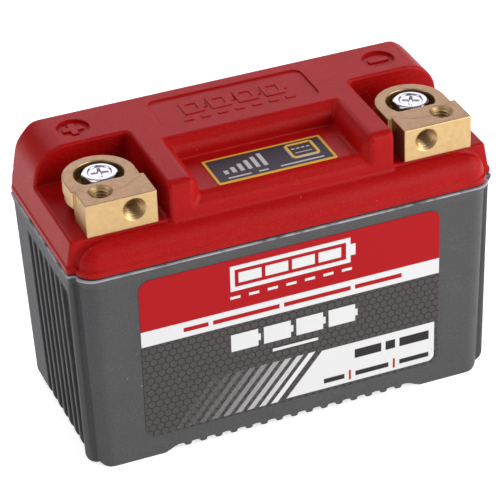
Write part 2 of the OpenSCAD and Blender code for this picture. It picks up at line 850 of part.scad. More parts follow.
case();
lid();
case_seal();
front_label();
terminal_adapter(-1);  // pos_terminal_adapter
terminal_adapter(1);  // neg_terminal_adapter
terminal_post(-1);  // pos_terminal_post
terminal_post(1);  // neg_terminal_post
adapter_screw(-1);  // pos_adapter_screw
adapter_screw(1);  // neg_adapter_screw
screw_washer(-1);  // pos_screw_washer
screw_washer(1);  // neg_screw_washer
post_seal(-1);  // pos_post_seal
post_seal(1);  // neg_post_seal
post_nut(-1);  // pos_post_nut
post_nut(1);  // neg_post_nut
bus_bar(-1);  // pos_bus_bar
bus_bar(1);  // neg_bus_bar
gauge_overlay();
test_button();
switch_plunger();
tact_switch();
gauge_board();
gauge_leds();
light_guides();
gauge_board_screws();
gauge_leads();
cell(0);  // cell_1
cell(1);  // cell_2
cell(2);  // cell_3
cell(3);  // cell_4
sleeve(0);  // sleeve_1
sleeve(1);  // sleeve_2
sleeve(2);  // sleeve_3
sleeve(3);  // sleeve_4
cell_insulators();
lower_cell_holder();
upper_cell_holder();
lower_link(-1);  // link_1_2
upper_link();  // link_2_3
lower_link(1);  // link_3_4
foam_pad(-1);  // foam_pad_front
foam_pad(1);  // foam_pad_rear
bms_board();
bms_mosfets();
bms_small_parts();
bms_board_screws();
balance_connector();
balance_leads();
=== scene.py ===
"""Looks of a motorcycle battery: moulded case and cover, brass terminals, printed label and charge gauge.

Sizes in the shape functions are millimetres in the part's own frame; meshes are made in metres.
"""

import math

import bpy
import numpy as np
from mathutils import Matrix, Vector


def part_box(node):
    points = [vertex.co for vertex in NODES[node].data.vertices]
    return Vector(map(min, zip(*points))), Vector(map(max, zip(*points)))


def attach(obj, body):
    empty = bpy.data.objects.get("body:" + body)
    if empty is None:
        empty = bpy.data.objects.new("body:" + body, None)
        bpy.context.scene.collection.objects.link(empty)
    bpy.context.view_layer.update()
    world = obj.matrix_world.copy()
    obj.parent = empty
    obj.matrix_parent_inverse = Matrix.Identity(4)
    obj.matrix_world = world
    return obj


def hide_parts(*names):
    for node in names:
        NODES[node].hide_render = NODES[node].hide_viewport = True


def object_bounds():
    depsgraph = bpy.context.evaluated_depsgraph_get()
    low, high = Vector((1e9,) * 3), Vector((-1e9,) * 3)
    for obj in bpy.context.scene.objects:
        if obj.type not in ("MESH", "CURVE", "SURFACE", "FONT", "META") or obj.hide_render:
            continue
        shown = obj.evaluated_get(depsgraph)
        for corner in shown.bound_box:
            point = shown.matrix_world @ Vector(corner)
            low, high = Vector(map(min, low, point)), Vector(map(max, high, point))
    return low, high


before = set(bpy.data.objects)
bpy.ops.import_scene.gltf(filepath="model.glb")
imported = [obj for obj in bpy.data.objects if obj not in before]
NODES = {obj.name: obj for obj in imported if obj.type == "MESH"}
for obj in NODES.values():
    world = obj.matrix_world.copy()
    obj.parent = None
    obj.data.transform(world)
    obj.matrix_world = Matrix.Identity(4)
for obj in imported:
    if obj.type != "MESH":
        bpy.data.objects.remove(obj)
CAD_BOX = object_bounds()
MM = 0.001
CAD_LOW, CAD_HIGH = np.array(CAD_BOX) / MM


# ---- camera ----

LENS = 192.26
CAMERA_AZIMUTH = math.radians(-20.991)
CAMERA_ELEVATION = math.radians(32.288)
CAMERA_ROLL = math.radians(-2.249)
CAMERA_DISTANCE = 0.8067
CAMERA_TARGET = Vector((0, 0, 0.045))
CAMERA_SLIDE = (-0.001304, -0.000825)
CAMERA_CLIP_START = 0.01


def add_camera():
    """Camera on a sphere round the target, rolled, and slid a little sideways and down."""
    flat = math.cos(CAMERA_ELEVATION)
    back = Vector(
        (math.sin(CAMERA_AZIMUTH) * flat, -math.cos(CAMERA_AZIMUTH) * flat, math.sin(CAMERA_ELEVATION))
    )
    level = back.cross(Vector((0, 0, -1))).normalized()
    rise = back.cross(level)
    right = level * math.cos(CAMERA_ROLL) + rise * math.sin(CAMERA_ROLL)
    up = rise * math.cos(CAMERA_ROLL) - level * math.sin(CAMERA_ROLL)
    place = CAMERA_TARGET + back * CAMERA_DISTANCE + right * CAMERA_SLIDE[0] + up * CAMERA_SLIDE[1]
    data = bpy.data.cameras.new("camera")
    data.lens = LENS
    data.clip_start = CAMERA_CLIP_START
    camera = bpy.data.objects.new("camera", data)
    turn = Matrix((right, up, back)).transposed()
    camera.matrix_world = Matrix.Translation(place) @ turn.to_4x4()
    bpy.context.scene.collection.objects.link(camera)
    bpy.context.scene.camera = camera


# ---- distance fields: negative inside, millimetres ----


def round_max(a, b, r):
    """Both at once, with the outer edge rounded to radius r."""
    u = np.maximum(a + r, 0)
    v = np.maximum(b + r, 0)
    return np.minimum(np.maximum(a, b), -r) + np.sqrt(u * u + v * v)


def round_min(a, b, r):
    """Either one, with the inner corner between them filled to radius r."""
    return -round_max(-a, -b, r)


def cut(solid, tool, r):
    """The solid without the tool; the edge that this leaves is rounded to radius r."""
    return round_max(solid, -tool, r)


def rect(x, y, half_x, half_y, r):
    """Distance to a rectangle with rounded corners. The half sizes may vary from point to point."""
    u = np.abs(x) - half_x + r
    v = np.abs(y) - half_y + r
    outside = np.sqrt(np.maximum(u, 0) ** 2 + np.maximum(v, 0) ** 2)
    return outside + np.minimum(np.maximum(u, v), 0) - r


def slab(z, low, high):
    return np.maximum(low - z, z - high)


def disc(x, y, centre, r):
    return np.hypot(x - centre[0], y - centre[1]) - r


def smooth_step(t):
    t = np.clip(t, 0, 1)
    return t * t * (3 - 2 * t)


def repeat(value, pitch, count):
    """Distance from the nearest of a row of evenly spaced places, centred on zero."""
    last = (count - 1) / 2
    nearest = np.clip(np.round(value / pitch + last % 1) - last % 1, -last, last)
    return value - pitch * nearest


# ---- turning a distance field into a mesh ----


def grid_line(*stops):
    """Grid positions along one axis, from (start, step) pairs; the last stop closes the line."""
    parts = []
    for (start, step), (end, _) in zip(stops, stops[1:]):
        count = max(1, round((end - start) / step))
        parts.append(np.linspace(start, end, count, endpoint=False))
    return np.concatenate([*parts, [stops[-1][0]]])


SLOPE_REACH = 0.01
SETTLE_STEPS = 3
SETTLE_LIMIT = 0.3


def gradient(field, points):
    """Slope of the field at each point, by central differences."""
    slopes = []
    for axis in range(3):
        step = np.zeros(3)
        step[axis] = SLOPE_REACH
        slopes.append((field(*(points + step).T) - field(*(points - step).T)) / (2 * SLOPE_REACH))
    return np.stack(slopes, 1)


def surface_net(field, lines):
    """Vertices and quads of the field's zero surface over a grid whose lines may be unevenly spaced."""
    values = field(*np.meshgrid(*lines, indexing="ij"))
    inside = values < 0
    cells = np.array(values.shape) - 1
    around, crossings = [], []
    for axis in range(3):
        side_a, side_b = (axis + 1) % 3, (axis + 2) % 3
        low = [slice(None)] * 3
        high = [slice(None)] * 3
        low[axis] = slice(0, -1)
        high[axis] = slice(1, None)
        at = np.argwhere(inside[tuple(low)] != inside[tuple(high)])
        ahead = at.copy()
        ahead[:, axis] += 1
        before = values[tuple(at.T)]
        after = values[tuple(ahead.T)]
        point = np.stack([lines[d][at[:, d]] for d in range(3)], 1)
        gap = lines[axis][ahead[:, axis]] - lines[axis][at[:, axis]]
        point[:, axis] += gap * before / (before - after)
        corners = []
        for da, db in ((-1, -1), (0, -1), (0, 0), (-1, 0)):
            cell = at.copy()
            cell[:, side_a] += da
            cell[:, side_b] += db
            corners.append(np.ravel_multi_index(tuple(cell.T), cells))
        corners = np.stack(corners, 1)
        outward = before < 0
        corners[~outward] = corners[~outward][:, ::-1]
        around.append(corners)
        crossings.append(np.repeat(point, 4, axis=0))
    quads = np.concatenate(around)
    used, index = np.unique(quads, return_inverse=True)
    index = index.reshape(-1)
    points = np.concatenate(crossings)
    share = np.bincount(index, minlength=len(used))
    vertices = np.stack([np.bincount(index, points[:, d]) / share for d in range(3)], 1)
    return vertices, index.reshape(-1, 4)


def field_mesh(name, field, lines):
    """A mesh of the field's zero surface: vertices settled on it, normals taken from the field."""
    vertices, quads = surface_net(field, lines)
    for _ in range(SETTLE_STEPS):
        slope = gradient(field, vertices)
        steep = np.maximum((slope**2).sum(1), 0.2)
        move = (field(*vertices.T) / steep)[:, None] * slope
        vertices -= np.clip(move, -SETTLE_LIMIT, SETTLE_LIMIT)
    vertices = np.clip(vertices, CAD_LOW, CAD_HIGH)
    normals = gradient(field, vertices)
    normals /= np.maximum(np.linalg.norm(normals, axis=1), 1e-6)[:, None]
    mesh = bpy.data.meshes.new(name)
    mesh.from_pydata((vertices * MM).tolist(), [], quads.tolist())
    mesh.polygons.foreach_set("use_smooth", np.ones(len(quads), bool))
    mesh.normals_split_custom_set_from_vertices(normals.tolist())
    return mesh


def add_piece(name, mesh, material, body, replaces=()):
    """Puts a mesh in the scene on its body, in place of the CAD nodes named in replaces."""
    piece = bpy.data.objects.new(name, mesh)
    bpy.context.scene.collection.objects.link(piece)
    mesh.materials.append(material)
    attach(piece, body)
    if replaces:
        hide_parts(*replaces)


# ---- driving sizes, from the frame where it states them ----


def box_mm(node):
    """Lowest and highest corner of a CAD node's box."""
    low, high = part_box(node)
    return np.array(low) / MM, np.array(high) / MM


def middle_mm(node):
    low, high = box_mm(node)
    return (low + high) / 2


def side_name(side):
    """Which terminal a side is: the positive one is at -1, the negative one at 1."""
    return "neg" if side > 0 else "pos"


LID_LOW, LID_HIGH = box_mm("lid")
OVERLAY_LOW, OVERLAY_HIGH = box_mm("gauge_overlay")
LABEL_LOW, LABEL_HIGH = box_mm("front_label")
BUTTON_LOW, BUTTON_HIGH = box_mm("test_button")
BUTTON_CENTRE = middle_mm("test_button")
BUTTON_HALF = (BUTTON_HIGH - BUTTON_LOW) / 2
ADAPTER_LOW, ADAPTER_HIGH = box_mm("pos_terminal_adapter")
POST_X = (middle_mm("pos_post_seal")[0], middle_mm("neg_post_seal")[0])
POST_Y = middle_mm("pos_post_seal")[1]

TOP_Z = LID_HIGH[2]
SEAM_Z = box_mm("case_seal")[1][2]
RIM_TOP_Z = box_mm("case")[1][2]
SLAB_X = LID_HIGH[0]
MAIN_X = SLAB_X - 2
MAIN_Y = LID_HIGH[1]
SLAB_Y = MAIN_Y - 5.5
REAR_REACH = 1.6
OVERHANG = 1
CORNER_R = 6
SLAB_CORNER_R = 0.9
NOTCH_R = 0.62
NOTCH_AT = (MAIN_X + 0.35, SLAB_Y + 0.75)
DISPLAY_Z = OVERLAY_LOW[2]


def slab_y(y):
    """y for the end slabs, which reach a little further towards the rear than towards the front."""
    return np.where(y > REAR_REACH, y - REAR_REACH, np.minimum(y, 0))


def outline(x, y, grow):
    """Plan of case and cover: rounded main body, a slab at each end, and a notch where they meet."""
    main = rect(x, y, MAIN_X + grow, MAIN_Y + grow, CORNER_R)
    ends = rect(x, slab_y(y), SLAB_X + grow, SLAB_Y + grow, SLAB_CORNER_R)
    both = round_min(main, ends, 0.2)
    notch = disc(np.abs(x), np.abs(slab_y(y)), (NOTCH_AT[0] + grow, NOTCH_AT[1] + grow), NOTCH_R)
    return cut(both, notch, 0.25)


# ---- cover ----

# leaning ends, flange and pocket floor
END_LEAN = math.radians(9.9)
END_LEAN_Z = SEAM_Z + 1.8
END_INSET = 0.7
WALL_INSET = 0.8
REAR_SLAB_EXTRA = 0.9
FLANGE_H = 2
FLANGE_INSET = 0.42
FOOT_GAP = 0.1
POCKET_Z = ADAPTER_LOW[2] - FOOT_GAP

# rear block and centre block
POCKET_REAR_Y = 8.2
REAR_TOP_Y = 27
REAR_TOP_R = 2
REAR_LEAN = math.radians(6.7)
SHOULDER_R = 8.5
REAR_CORNER_R = 1.6
REAR_CORNER_FADE = 4
CENTRE_HALF = 35
CENTRE_BACK_Y = 20
BLOCK_FRONT_Y = -25.66

# pillow along the front
NOSE_TOP_Z = 77.55
NOSE_R = 7
CREASE_R = 0.95
CREASE_START_X = 50
CREASE_FADE = 9

# skirt inside the case, rooms under the cover and the thickness left above each
SKIRT_Z = LID_LOW[2]
SKIRT_HALF = (61.3, 27.3)
SKIRT_WALL = 1.6
POCKET_FLOOR = 2.5
DISPLAY_FLOOR = 2.2
ROOF = 2.4
REAR_ROOM_Y = 17.65
REAR_ROOM_HALF = (56, 7.05)
GAUGE_ROOM_Y = -13.3
GAUGE_ROOM_HALF = (23, 7.2)
POST_HOLE_R = 5.0
SEAL_SEAT_R = 7.55

# display recess and the well of its button
DISPLAY_HALF_X = 25
DISPLAY_BACK_Y = -3.7
DISPLAY_FRONT_Y = -22.8
SILL_DROP = 3.14
CHAMFER = 3
BUTTON_CORNER_R = 1.4
WELL_GAP = 0.3
STEM_HOLE_R = 1.58

# round recesses, panel and the pictures in them
SYMBOL_AT = (49, 16.8)
SYMBOL_R = 4.9
SYMBOL_DEPTH = 0.9
SIGN_HALF = (3.2, 1.05)
SIGN_GRID_HALF = 3.6
PANEL_Y = 12.6
PANEL_HALF = (24.6, 9.1)
PANEL_DEPTH = 0.5
CELL_Y = 13.8
CELL_PITCH = 8.6
CELL_COUNT = 4
DASH_Y = 7.3
DASH_PITCH = 5.4
DASH_COUNT = 7
RELIEF_ROOT = 0.4


def end_plane(x, z, half_x):
    """Leaning end face of the cover that is half_x from the middle just above the flange."""
    return (np.abs(x) - half_x + math.tan(END_LEAN) * (z - END_LEAN_Z)) * math.cos(END_LEAN)


def nose(x, y, z):
    """Pillow along the front of the cover, with a crease where its ends meet the slabs."""
    plan = rect(x, y, MAIN_X - OVERHANG, MAIN_Y - 0.9, CORNER_R)
    body = round_max(plan, z - NOSE_TOP_Z, NOSE_R)
    side_view = round_max(np.abs(x) - MAIN_X + OVERHANG, z - NOSE_TOP_Z, NOSE_R)
    fade = smooth_step((np.abs(x) - CREASE_START_X) / CREASE_FADE)
    crease = np.hypot(side_view, np.abs(y) - SLAB_Y - 0.25) - CREASE_R * fade
    return cut(body, crease, 0.3)


def end_slabs(x, y, z):
    """Floors of the terminal pockets, out to the leaning ends of the cover."""
    sides = np.abs(slab_y(y)) - (SLAB_Y - WALL_INSET)
    plan = round_max(end_plane(x, z, SLAB_X - END_INSET), sides, 1.0)
    return round_max(plan, z - POCKET_Z, 0.9)


def rear_block(x, y, z):
    """Block behind the terminals: leaning ends with wide shoulders, leaning rear face."""
    rear = (y - REAR_TOP_Y - math.tan(REAR_LEAN) * (TOP_Z - z)) * math.cos(REAR_LEAN)
    rear = round_max(rear, z - TOP_Z, REAR_TOP_R)
    ends = round_max(end_plane(x, z, SLAB_X - END_INSET), z - TOP_Z, SHOULDER_R)
    corner_r = 0.01 + REAR_CORNER_R * smooth_step((TOP_Z - z) / REAR_CORNER_FADE)
    return round_max(round_max(ends, rear, corner_r), POCKET_REAR_Y - y, 0.9)


def centre_block(x, y, z):
    """Block between the terminals that the display is sunk into."""
    front = round_max(BLOCK_FRONT_Y - y, z - TOP_Z, 2.6)
    return round_max(round_max(np.abs(x) - CENTRE_HALF, front, 1.2), y - CENTRE_BACK_Y, 0.1)


def display_surround(x, y, z):
    """What stays solid round the display: floor and sill below, back wall behind, pillars at the sides."""
    slope = SILL_DROP / (DISPLAY_FRONT_Y - BLOCK_FRONT_Y)
    sill = (z - DISPLAY_Z - slope * (y - DISPLAY_FRONT_Y)) / math.hypot(1, slope)
    floor = round_max(z - DISPLAY_Z, sill, 0.8)
    bevel_z = TOP_Z - CHAMFER
    back = round_max(DISPLAY_BACK_Y - y, (z - bevel_z - (y - DISPLAY_BACK_Y)) / math.sqrt(2), 1.1)
    out = np.abs(x) - DISPLAY_HALF_X
    upper = (z - bevel_z - out) / math.sqrt(2)
    plan_slope = CHAMFER / (DISPLAY_FRONT_Y - BLOCK_FRONT_Y)
    front = (-out + plan_slope * (DISPLAY_FRONT_Y - y)) / math.hypot(1, plan_slope)
    pillar = round_max(round_max(-out, upper, 1.1), front, 0.8)
    return round_min(round_min(floor, back, 0.7), pillar, 0.9)


def lid_outside(x, y, z):
    """Outer form of the cover, kept inside an envelope that stands on the flange."""
    flange = round_max(outline(x, y, -FLANGE_INSET), slab(z, SEAM_Z, SEAM_Z + FLANGE_H), 0.45)
    front_part = np.maximum(round_min(nose(x, y, z), end_slabs(x, y, z), 0.25), y - POCKET_REAR_Y - 5)
    upper = round_min(rear_block(x, y, z), centre_block(x, y, z), 1.8)
    upper = round_max(upper, display_surround(x, y, z), 0.7)
    body = round_min(front_part, upper, 0.9)
    main = rect(x, y, MAIN_X - WALL_INSET, MAIN_Y - WALL_INSET, CORNER_R / 2)
    slab_half_y = SLAB_Y - WALL_INSET + REAR_SLAB_EXTRA * (y > 0)
    ends = rect(x, slab_y(y), SLAB_X - 0.6, slab_half_y, SLAB_CORNER_R)
    envelope = np.maximum(end_plane(x, z, SLAB_X - END_INSET), np.minimum(main, ends))
    envelope = np.maximum(envelope, np.maximum(SEAM_Z + 0.5 - z, z - TOP_Z))
    return round_min(np.maximum(body, envelope), flange, 0.5)


def lid_marks(x, y, z):
    """Recesses in the top face: a round one at each end and a panel in the middle."""
    pit = np.hypot(np.abs(x) - SYMBOL_AT[0], y - SYMBOL_AT[1]) - SYMBOL_R
    pit = np.maximum(pit, TOP_Z - SYMBOL_DEPTH - z)
    panel = np.maximum(rect(x, y - PANEL_Y, *PANEL_HALF, 3.0), TOP_Z - PANEL_DEPTH - z)
    return np.minimum(pit, panel)


def sign_field(side):
    """Raised plus or minus in its round recess: plus for side -1, minus for side 1."""

    def field(x, y, z):
        u = x - side * SYMBOL_AT[0]
        v = y - SYMBOL_AT[1]
        sign = rect(u, v, *SIGN_HALF, 0.25)
        if side < 0:
            sign = round_min(sign, rect(v, u, *SIGN_HALF, 0.25), 0.15)
        return round_max(sign, slab(z, TOP_Z - SYMBOL_DEPTH - RELIEF_ROOT, TOP_Z - 0.35), 0.18)

    return field


def sign_grid(side):
    middle = side * SYMBOL_AT[0]
    x = grid_line((middle - SIGN_GRID_HALF, 0.16), (middle + SIGN_GRID_HALF, 1))
    y = grid_line((SYMBOL_AT[1] - SIGN_GRID_HALF, 0.16), (SYMBOL_AT[1] + SIGN_GRID_HALF, 1))
    return x, y, relief_heights()


def relief_heights():
    """Grid heights for what stands in the recesses of the top face."""
    return grid_line((TOP_Z - 1.5, 0.12), (TOP_Z + 0.2, 1))


def panel_relief(x, y, z):
    """Plain raised pictures in the panel: a row of four cells over a row of dashes."""
    cell_x = repeat(x, CELL_PITCH, CELL_COUNT)
    cell = rect(cell_x, y - CELL_Y, 3.3, 3.6, 0.6)
    window = rect(cell_x, y - CELL_Y, 1.6, 1.9, 0.4)
    nub = rect(cell_x - 3.6, y - CELL_Y, 0.8, 1.4, 0.2)
    dash = rect(repeat(x, DASH_PITCH, DASH_COUNT), y - DASH_Y, 1.5, 0.7, 0.2)
    shape = np.minimum(np.minimum(np.maximum(cell, -window), nub), dash)
    return round_max(shape, slab(z, TOP_Z - PANEL_DEPTH - RELIEF_ROOT, TOP_Z - 0.25), 0.15)


def panel_relief_grid():
    x = grid_line((-18.5, 0.18), (18.5, 1))
    y = grid_line((6.2, 0.18), (18, 1))
    return x, y, relief_heights()


def lid_inside(x, y, z):
    """Hollows under the cover and the holes through it."""
    half_x = SKIRT_HALF[0] - SKIRT_WALL
    half_y = SKIRT_HALF[1] - SKIRT_WALL
    skirt = np.maximum(rect(x, y, half_x, half_y, 3), z - SEAM_Z - 0.2)
    base = np.maximum(rect(x, y, half_x, half_y - 1, 2), z - POCKET_Z + POCKET_FLOOR)
    rear = np.maximum(rect(x, y - REAR_ROOM_Y, *REAR_ROOM_HALF, 1.5), z - TOP_Z + ROOF)
    gauge = np.maximum(rect(x, y - GAUGE_ROOM_Y, *GAUGE_ROOM_HALF, 1), z - DISPLAY_Z + DISPLAY_FLOOR)
    hollow = np.minimum(np.minimum(skirt, base), np.minimum(rear, gauge))
    near = np.where(x < 0, x - POST_X[0], x - POST_X[1])
    round_at_post = np.hypot(near, y - POST_Y)
    stem = np.maximum(round_at_post - POST_HOLE_R, z - POCKET_Z - 1)
    seat = np.maximum(round_at_post - SEAL_SEAT_R, slab(z, POCKET_Z - 1, POCKET_Z + 1))
    u = x - BUTTON_CENTRE[0]
    v = y - BUTTON_CENTRE[1]
    well = rect(u, v, BUTTON_HALF[0] + WELL_GAP, BUTTON_HALF[1] + WELL_GAP, BUTTON_CORNER_R)
    well = np.maximum(well, slab(z, DISPLAY_Z - 1, DISPLAY_Z + 1))
    stem_hole = np.hypot(u, v) - STEM_HOLE_R
    stem_hole = np.maximum(stem_hole, slab(z, DISPLAY_Z - 5, DISPLAY_Z + 1))
    holes = np.minimum(np.minimum(stem, seat), np.minimum(well, stem_hole))
    return np.minimum(hollow, holes)


def lid_field(x, y, z):
    """The whole cover: outer form and skirt, less the marks on top and the hollows below."""
    skirt = np.maximum(rect(x, y, *SKIRT_HALF, 3), slab(z, SKIRT_Z, SEAM_Z + 0.5))
    body = cut(lid_outside(x, y, z), lid_marks(x, y, z), 0.12)
    return cut(np.minimum(body, skirt), lid_inside(x, y, z), 0.15)


def lid_grid():
    """Grid that is fine where the cover has edges and coarse across its flat faces."""
    half = grid_line((0, 1.1), (23.5, 0.55), (44, 0.42), (54, 0.55), (62.5, 0.36), (67.6, 1))
    x = np.concatenate([-half[:0:-1], half])
    y = grid_line((-31.6, 0.36), (-23, 0.5), (8, 0.42), (23, 0.7), (25, 0.4), (31.6, 1))
    z = grid_line((63.6, 0.9), (67.2, 0.25), (70.2, 0.55), (77, 0.35), (79, 0.6), (88.6, 0.2), (90.5, 1))
    return x, y, z


# ---- case ----

DRAFT = 1.4
END_DRAFT = 2.6
END_OVERHANG = 0.55
RIM_H = 0.4
FLARE_H = 2.6
WALL_TOP_Z = RIM_TOP_Z - 3
FOOT_R = 4
CASE_NOTCH_R = 0.95
CASE_WALL = 2.4
FLOOR_Z = 4
GROOVE_PITCH = 5.02
GROOVE_COUNT = 6
GROOVE_MIDDLE_Y = -0.13
GROOVE_TOP_Z = 61.8
GROOVE_FULL_Z = 56
GROOVE_DEPTH = 1.6
GROOVE_HALF = 1.6
WIDE_GROOVE_Y = (-22.6, -16.1)
BAR_PITCH = 4.92
BAR_COUNT = 15
BAR_LOW_Z = 0.9
BAR_HALF = 0.85
BAR_LEAN = (0.86, 0.51)
ARCH_H = 2
ARCH_HALF = 41.9
ARCH_RAMP = (0.41, 0.91)
# Height above which the top edge of the case takes a painted highlight.
PAINTED_HIGHLIGHT_Z = RIM_TOP_Z - 0.42


def wall_step(z, draft, overhang):
    """How far a case wall stands inside the rim's outline at each height."""
    lean = draft * (1 - np.minimum(z, WALL_TOP_Z) / WALL_TOP_Z)
    flare = np.clip((RIM_TOP_Z - RIM_H - z) / FLARE_H, 0, 1)
    return lean + overhang * flare


def end_grooves(x, y, z):
    """Upright grooves in each end face: they run out near the top and through the foot."""
    narrow = np.abs(repeat(y - GROOVE_MIDDLE_Y, GROOVE_PITCH, GROOVE_COUNT)) - GROOVE_HALF
    wide = np.abs(y - sum(WIDE_GROOVE_Y) / 2) - (WIDE_GROOVE_Y[1] - WIDE_GROOVE_Y[0]) / 2
    face = SLAB_X - wall_step(np.minimum(z, WALL_TOP_Z), END_DRAFT, END_OVERHANG)
    depth = GROOVE_DEPTH * np.clip((GROOVE_TOP_Z - z) / (GROOVE_TOP_Z - GROOVE_FULL_Z), 0, 1)
    plan = round_max(np.minimum(narrow, wide), face - depth - np.abs(x), 0.3)
    return round_max(plan, z - GROOVE_TOP_Z, 0.3)


def end_body(x, y, z, draft):
    """Slab at each end of the case, down to a rounded foot."""
    step = wall_step(z, draft, END_OVERHANG)
    half_y = SLAB_Y - np.minimum(wall_step(z, 0, OVERHANG), OVERHANG)
    body = rect(x, slab_y(y), SLAB_X - step, half_y, 0.7)
    foot = round_max(np.abs(x) - SLAB_X + step, -z, FOOT_R)
    return round_max(body, foot, 0.5)


def case_outside(x, y, z):
    """Outer form of the case. In front of the wide groove the end face stands prouder."""
    step = wall_step(z, DRAFT, OVERHANG)
    main = rect(x, y, MAIN_X - step, MAIN_Y - step, CORNER_R - 0.5)
    main = round_max(main, -z, 0.3)
    foot = round_max(np.abs(x) - MAIN_X + step, -z, FOOT_R)
    main = round_max(main, foot, 0.3)
    strip = np.maximum(end_body(x, y, z, DRAFT), y - WIDE_GROOVE_Y[0])
    ends = np.minimum(end_body(x, y, z, END_DRAFT), strip)
    both = round_min(main, ends, 0.2)
    notch_at = (NOTCH_AT[0] - step, NOTCH_AT[1] - np.minimum(step, OVERHANG))
    notch = np.hypot(np.abs(x) - notch_at[0], np.abs(slab_y(y)) - notch_at[1]) - CASE_NOTCH_R
    both = cut(both, notch, 0.2)
    return round_max(both, z - RIM_TOP_Z, 0.3)


def underside(x, y, z):
    """Arch between the feet, less the row of bars that hang in it."""
    ramp = (np.abs(x) - ARCH_HALF) * ARCH_RAMP[0] + z * ARCH_RAMP[1]
    arch = round_max(ramp, z - ARCH_H, 0.3)
    near = np.abs(repeat(x, BAR_PITCH, BAR_COUNT))
    side = (near - BAR_HALF) * BAR_LEAN[0] - (z - BAR_LOW_Z) * BAR_LEAN[1]
    bar = round_max(side, BAR_LOW_Z - z, 0.2)
    return np.maximum(arch, -bar)


def case_field(x, y, z):
    """The whole case, open at the top and hollow."""
    body = cut(case_outside(x, y, z), end_grooves(x, y, z), 0.25)
    body = cut(body, underside(x, y, z), 0.2)
    lean = wall_step(z, DRAFT, 0)
    half_x = MAIN_X - OVERHANG - CASE_WALL - lean
    half_y = MAIN_Y - OVERHANG - CASE_WALL - lean
    hollow = round_max(rect(x, y, half_x, half_y, 3), FLOOR_Z - z, 1.0)
    return cut(body, hollow, 0.3)


def case_grid():
    """Grid that is fine at grooves, bars and edges and coarse up the plain walls."""
    half = grid_line((0, BAR_PITCH / 6), (BAR_PITCH * 7.5, 0.9), (54, 0.7), (61, 0.36), (67.6, 1))
    x = np.concatenate([-half[:0:-1], half])
    y = grid_line((-31.6, 0.36), (-22, 0.42), (15, 0.9), (23, 0.4), (31.6, 1))
    z = grid_line((-0.4, 0.25), (2.9, 0.5), (6.4, 3.4), (54.5, 0.8), (63.5, 0.3), (67.6, 1))
    return x, y, z


# ---- terminals ----

LUG_X = (-50.2, 47.7)
LUG_Y = -9.5
LUG_R = 10.75
LUG_FRONT_Y = -16.2
LUG_POCKET_FRONT_Y = -13.7
ADAPTER_TOP_Z = ADAPTER_HIGH[2]
LUG_Z = ADAPTER_TOP_Z - 4.8
BLOCK_X = 49.15
BLOCK_HALF = 10.75
BLOCK_Y = (-25.2, -14.2)
TAPPED_R = 2.95
THREAD_H = 0.5
THREAD_PITCH = 1.0
TAPPED_DEPTH = 9
COUNTERSINK_R = 3.6

# x and y of the hole in the top face, x and z of the hole in the front face
TAPPED_TOP = (53.2, -19.1)
TAPPED_FRONT = (45.4, 84.3)

LUG_POCKET_R = 7.3
LUG_HOLE_R = 3.3
POST_FOOT_R = 8
POST_STEM_R = 4.9
POST_BORE_R = 3


def tapped_hole(u, v, w):
    """Threaded hole along w, open at w = 0 and going in towards negative w.

    The factors at the ends of the lines keep the field's slope near one on the slanted faces.
    """
    away = np.hypot(u, v)
    turn = np.arctan2(v, u) / (2 * math.pi)
    phase = (w / THREAD_PITCH - turn) % 1
    ridge = np.clip(1.25 * (1 - np.abs(2 * phase - 1)) - 0.1, 0, 1)
    wall = (away - TAPPED_R + THREAD_H * ridge) * 0.75
    tip = (away * 0.5 - (w + TAPPED_DEPTH) * 0.87) * 0.9
    bore = np.maximum(np.maximum(wall, tip), w - 1)
    sink = (away - COUNTERSINK_R - w) * 0.71
    return np.minimum(bore, np.maximum(sink, -w - 2))


def adapter_field(side):
    """Brass terminal piece: upright block in front, round lug behind. side is -1 or 1."""
    lug_x = LUG_X[side > 0]
    post_x = POST_X[side > 0]
    block_y = sum(BLOCK_Y) / 2
    block_half_y = (BLOCK_Y[1] - BLOCK_Y[0]) / 2

    def field(x, y, z):
        block = rect(x - side * BLOCK_X, y - block_y, BLOCK_HALF, block_half_y, 0.35)
        block = round_max(block, slab(z, POCKET_Z + FOOT_GAP, ADAPTER_TOP_Z), 0.35)
        round_lug = disc(x, y, (lug_x, LUG_Y), LUG_R)
        cheek_y = (LUG_Y + LUG_FRONT_Y) / 2
        cheek = rect(x - lug_x, y - cheek_y, LUG_R, (LUG_Y - LUG_FRONT_Y) / 2, 0.6)
        lug = round_max(np.minimum(round_lug, cheek), slab(z, LUG_Z, ADAPTER_TOP_Z), 0.4)
        body = round_min(block, lug, 0.2)
        pocket = disc(x, y, (lug_x, LUG_Y + 0.3), LUG_POCKET_R)
        pocket = round_max(pocket, LUG_POCKET_FRONT_Y - y, 0.4)
        body = cut(body, np.maximum(pocket, LUG_Z + 0.8 - z), 0.3)
        body = cut(body, disc(x, y, (post_x, POST_Y), LUG_HOLE_R), 0.1)
        top_hole = tapped_hole(x - side * TAPPED_TOP[0], y - TAPPED_TOP[1], z - ADAPTER_TOP_Z)
        front_hole = tapped_hole(x - side * TAPPED_FRONT[0], z - TAPPED_FRONT[1], BLOCK_Y[0] - y)
        return cut(cut(body, top_hole, 0.12), front_hole, 0.12)

    return field


def adapter_grid(side):
    low, high = box_mm(f"{side_name(side)}_terminal_adapter")
    return [grid_line((low[d] - 0.5, 0.2), (high[d] + 0.5, 1)) for d in range(3)]


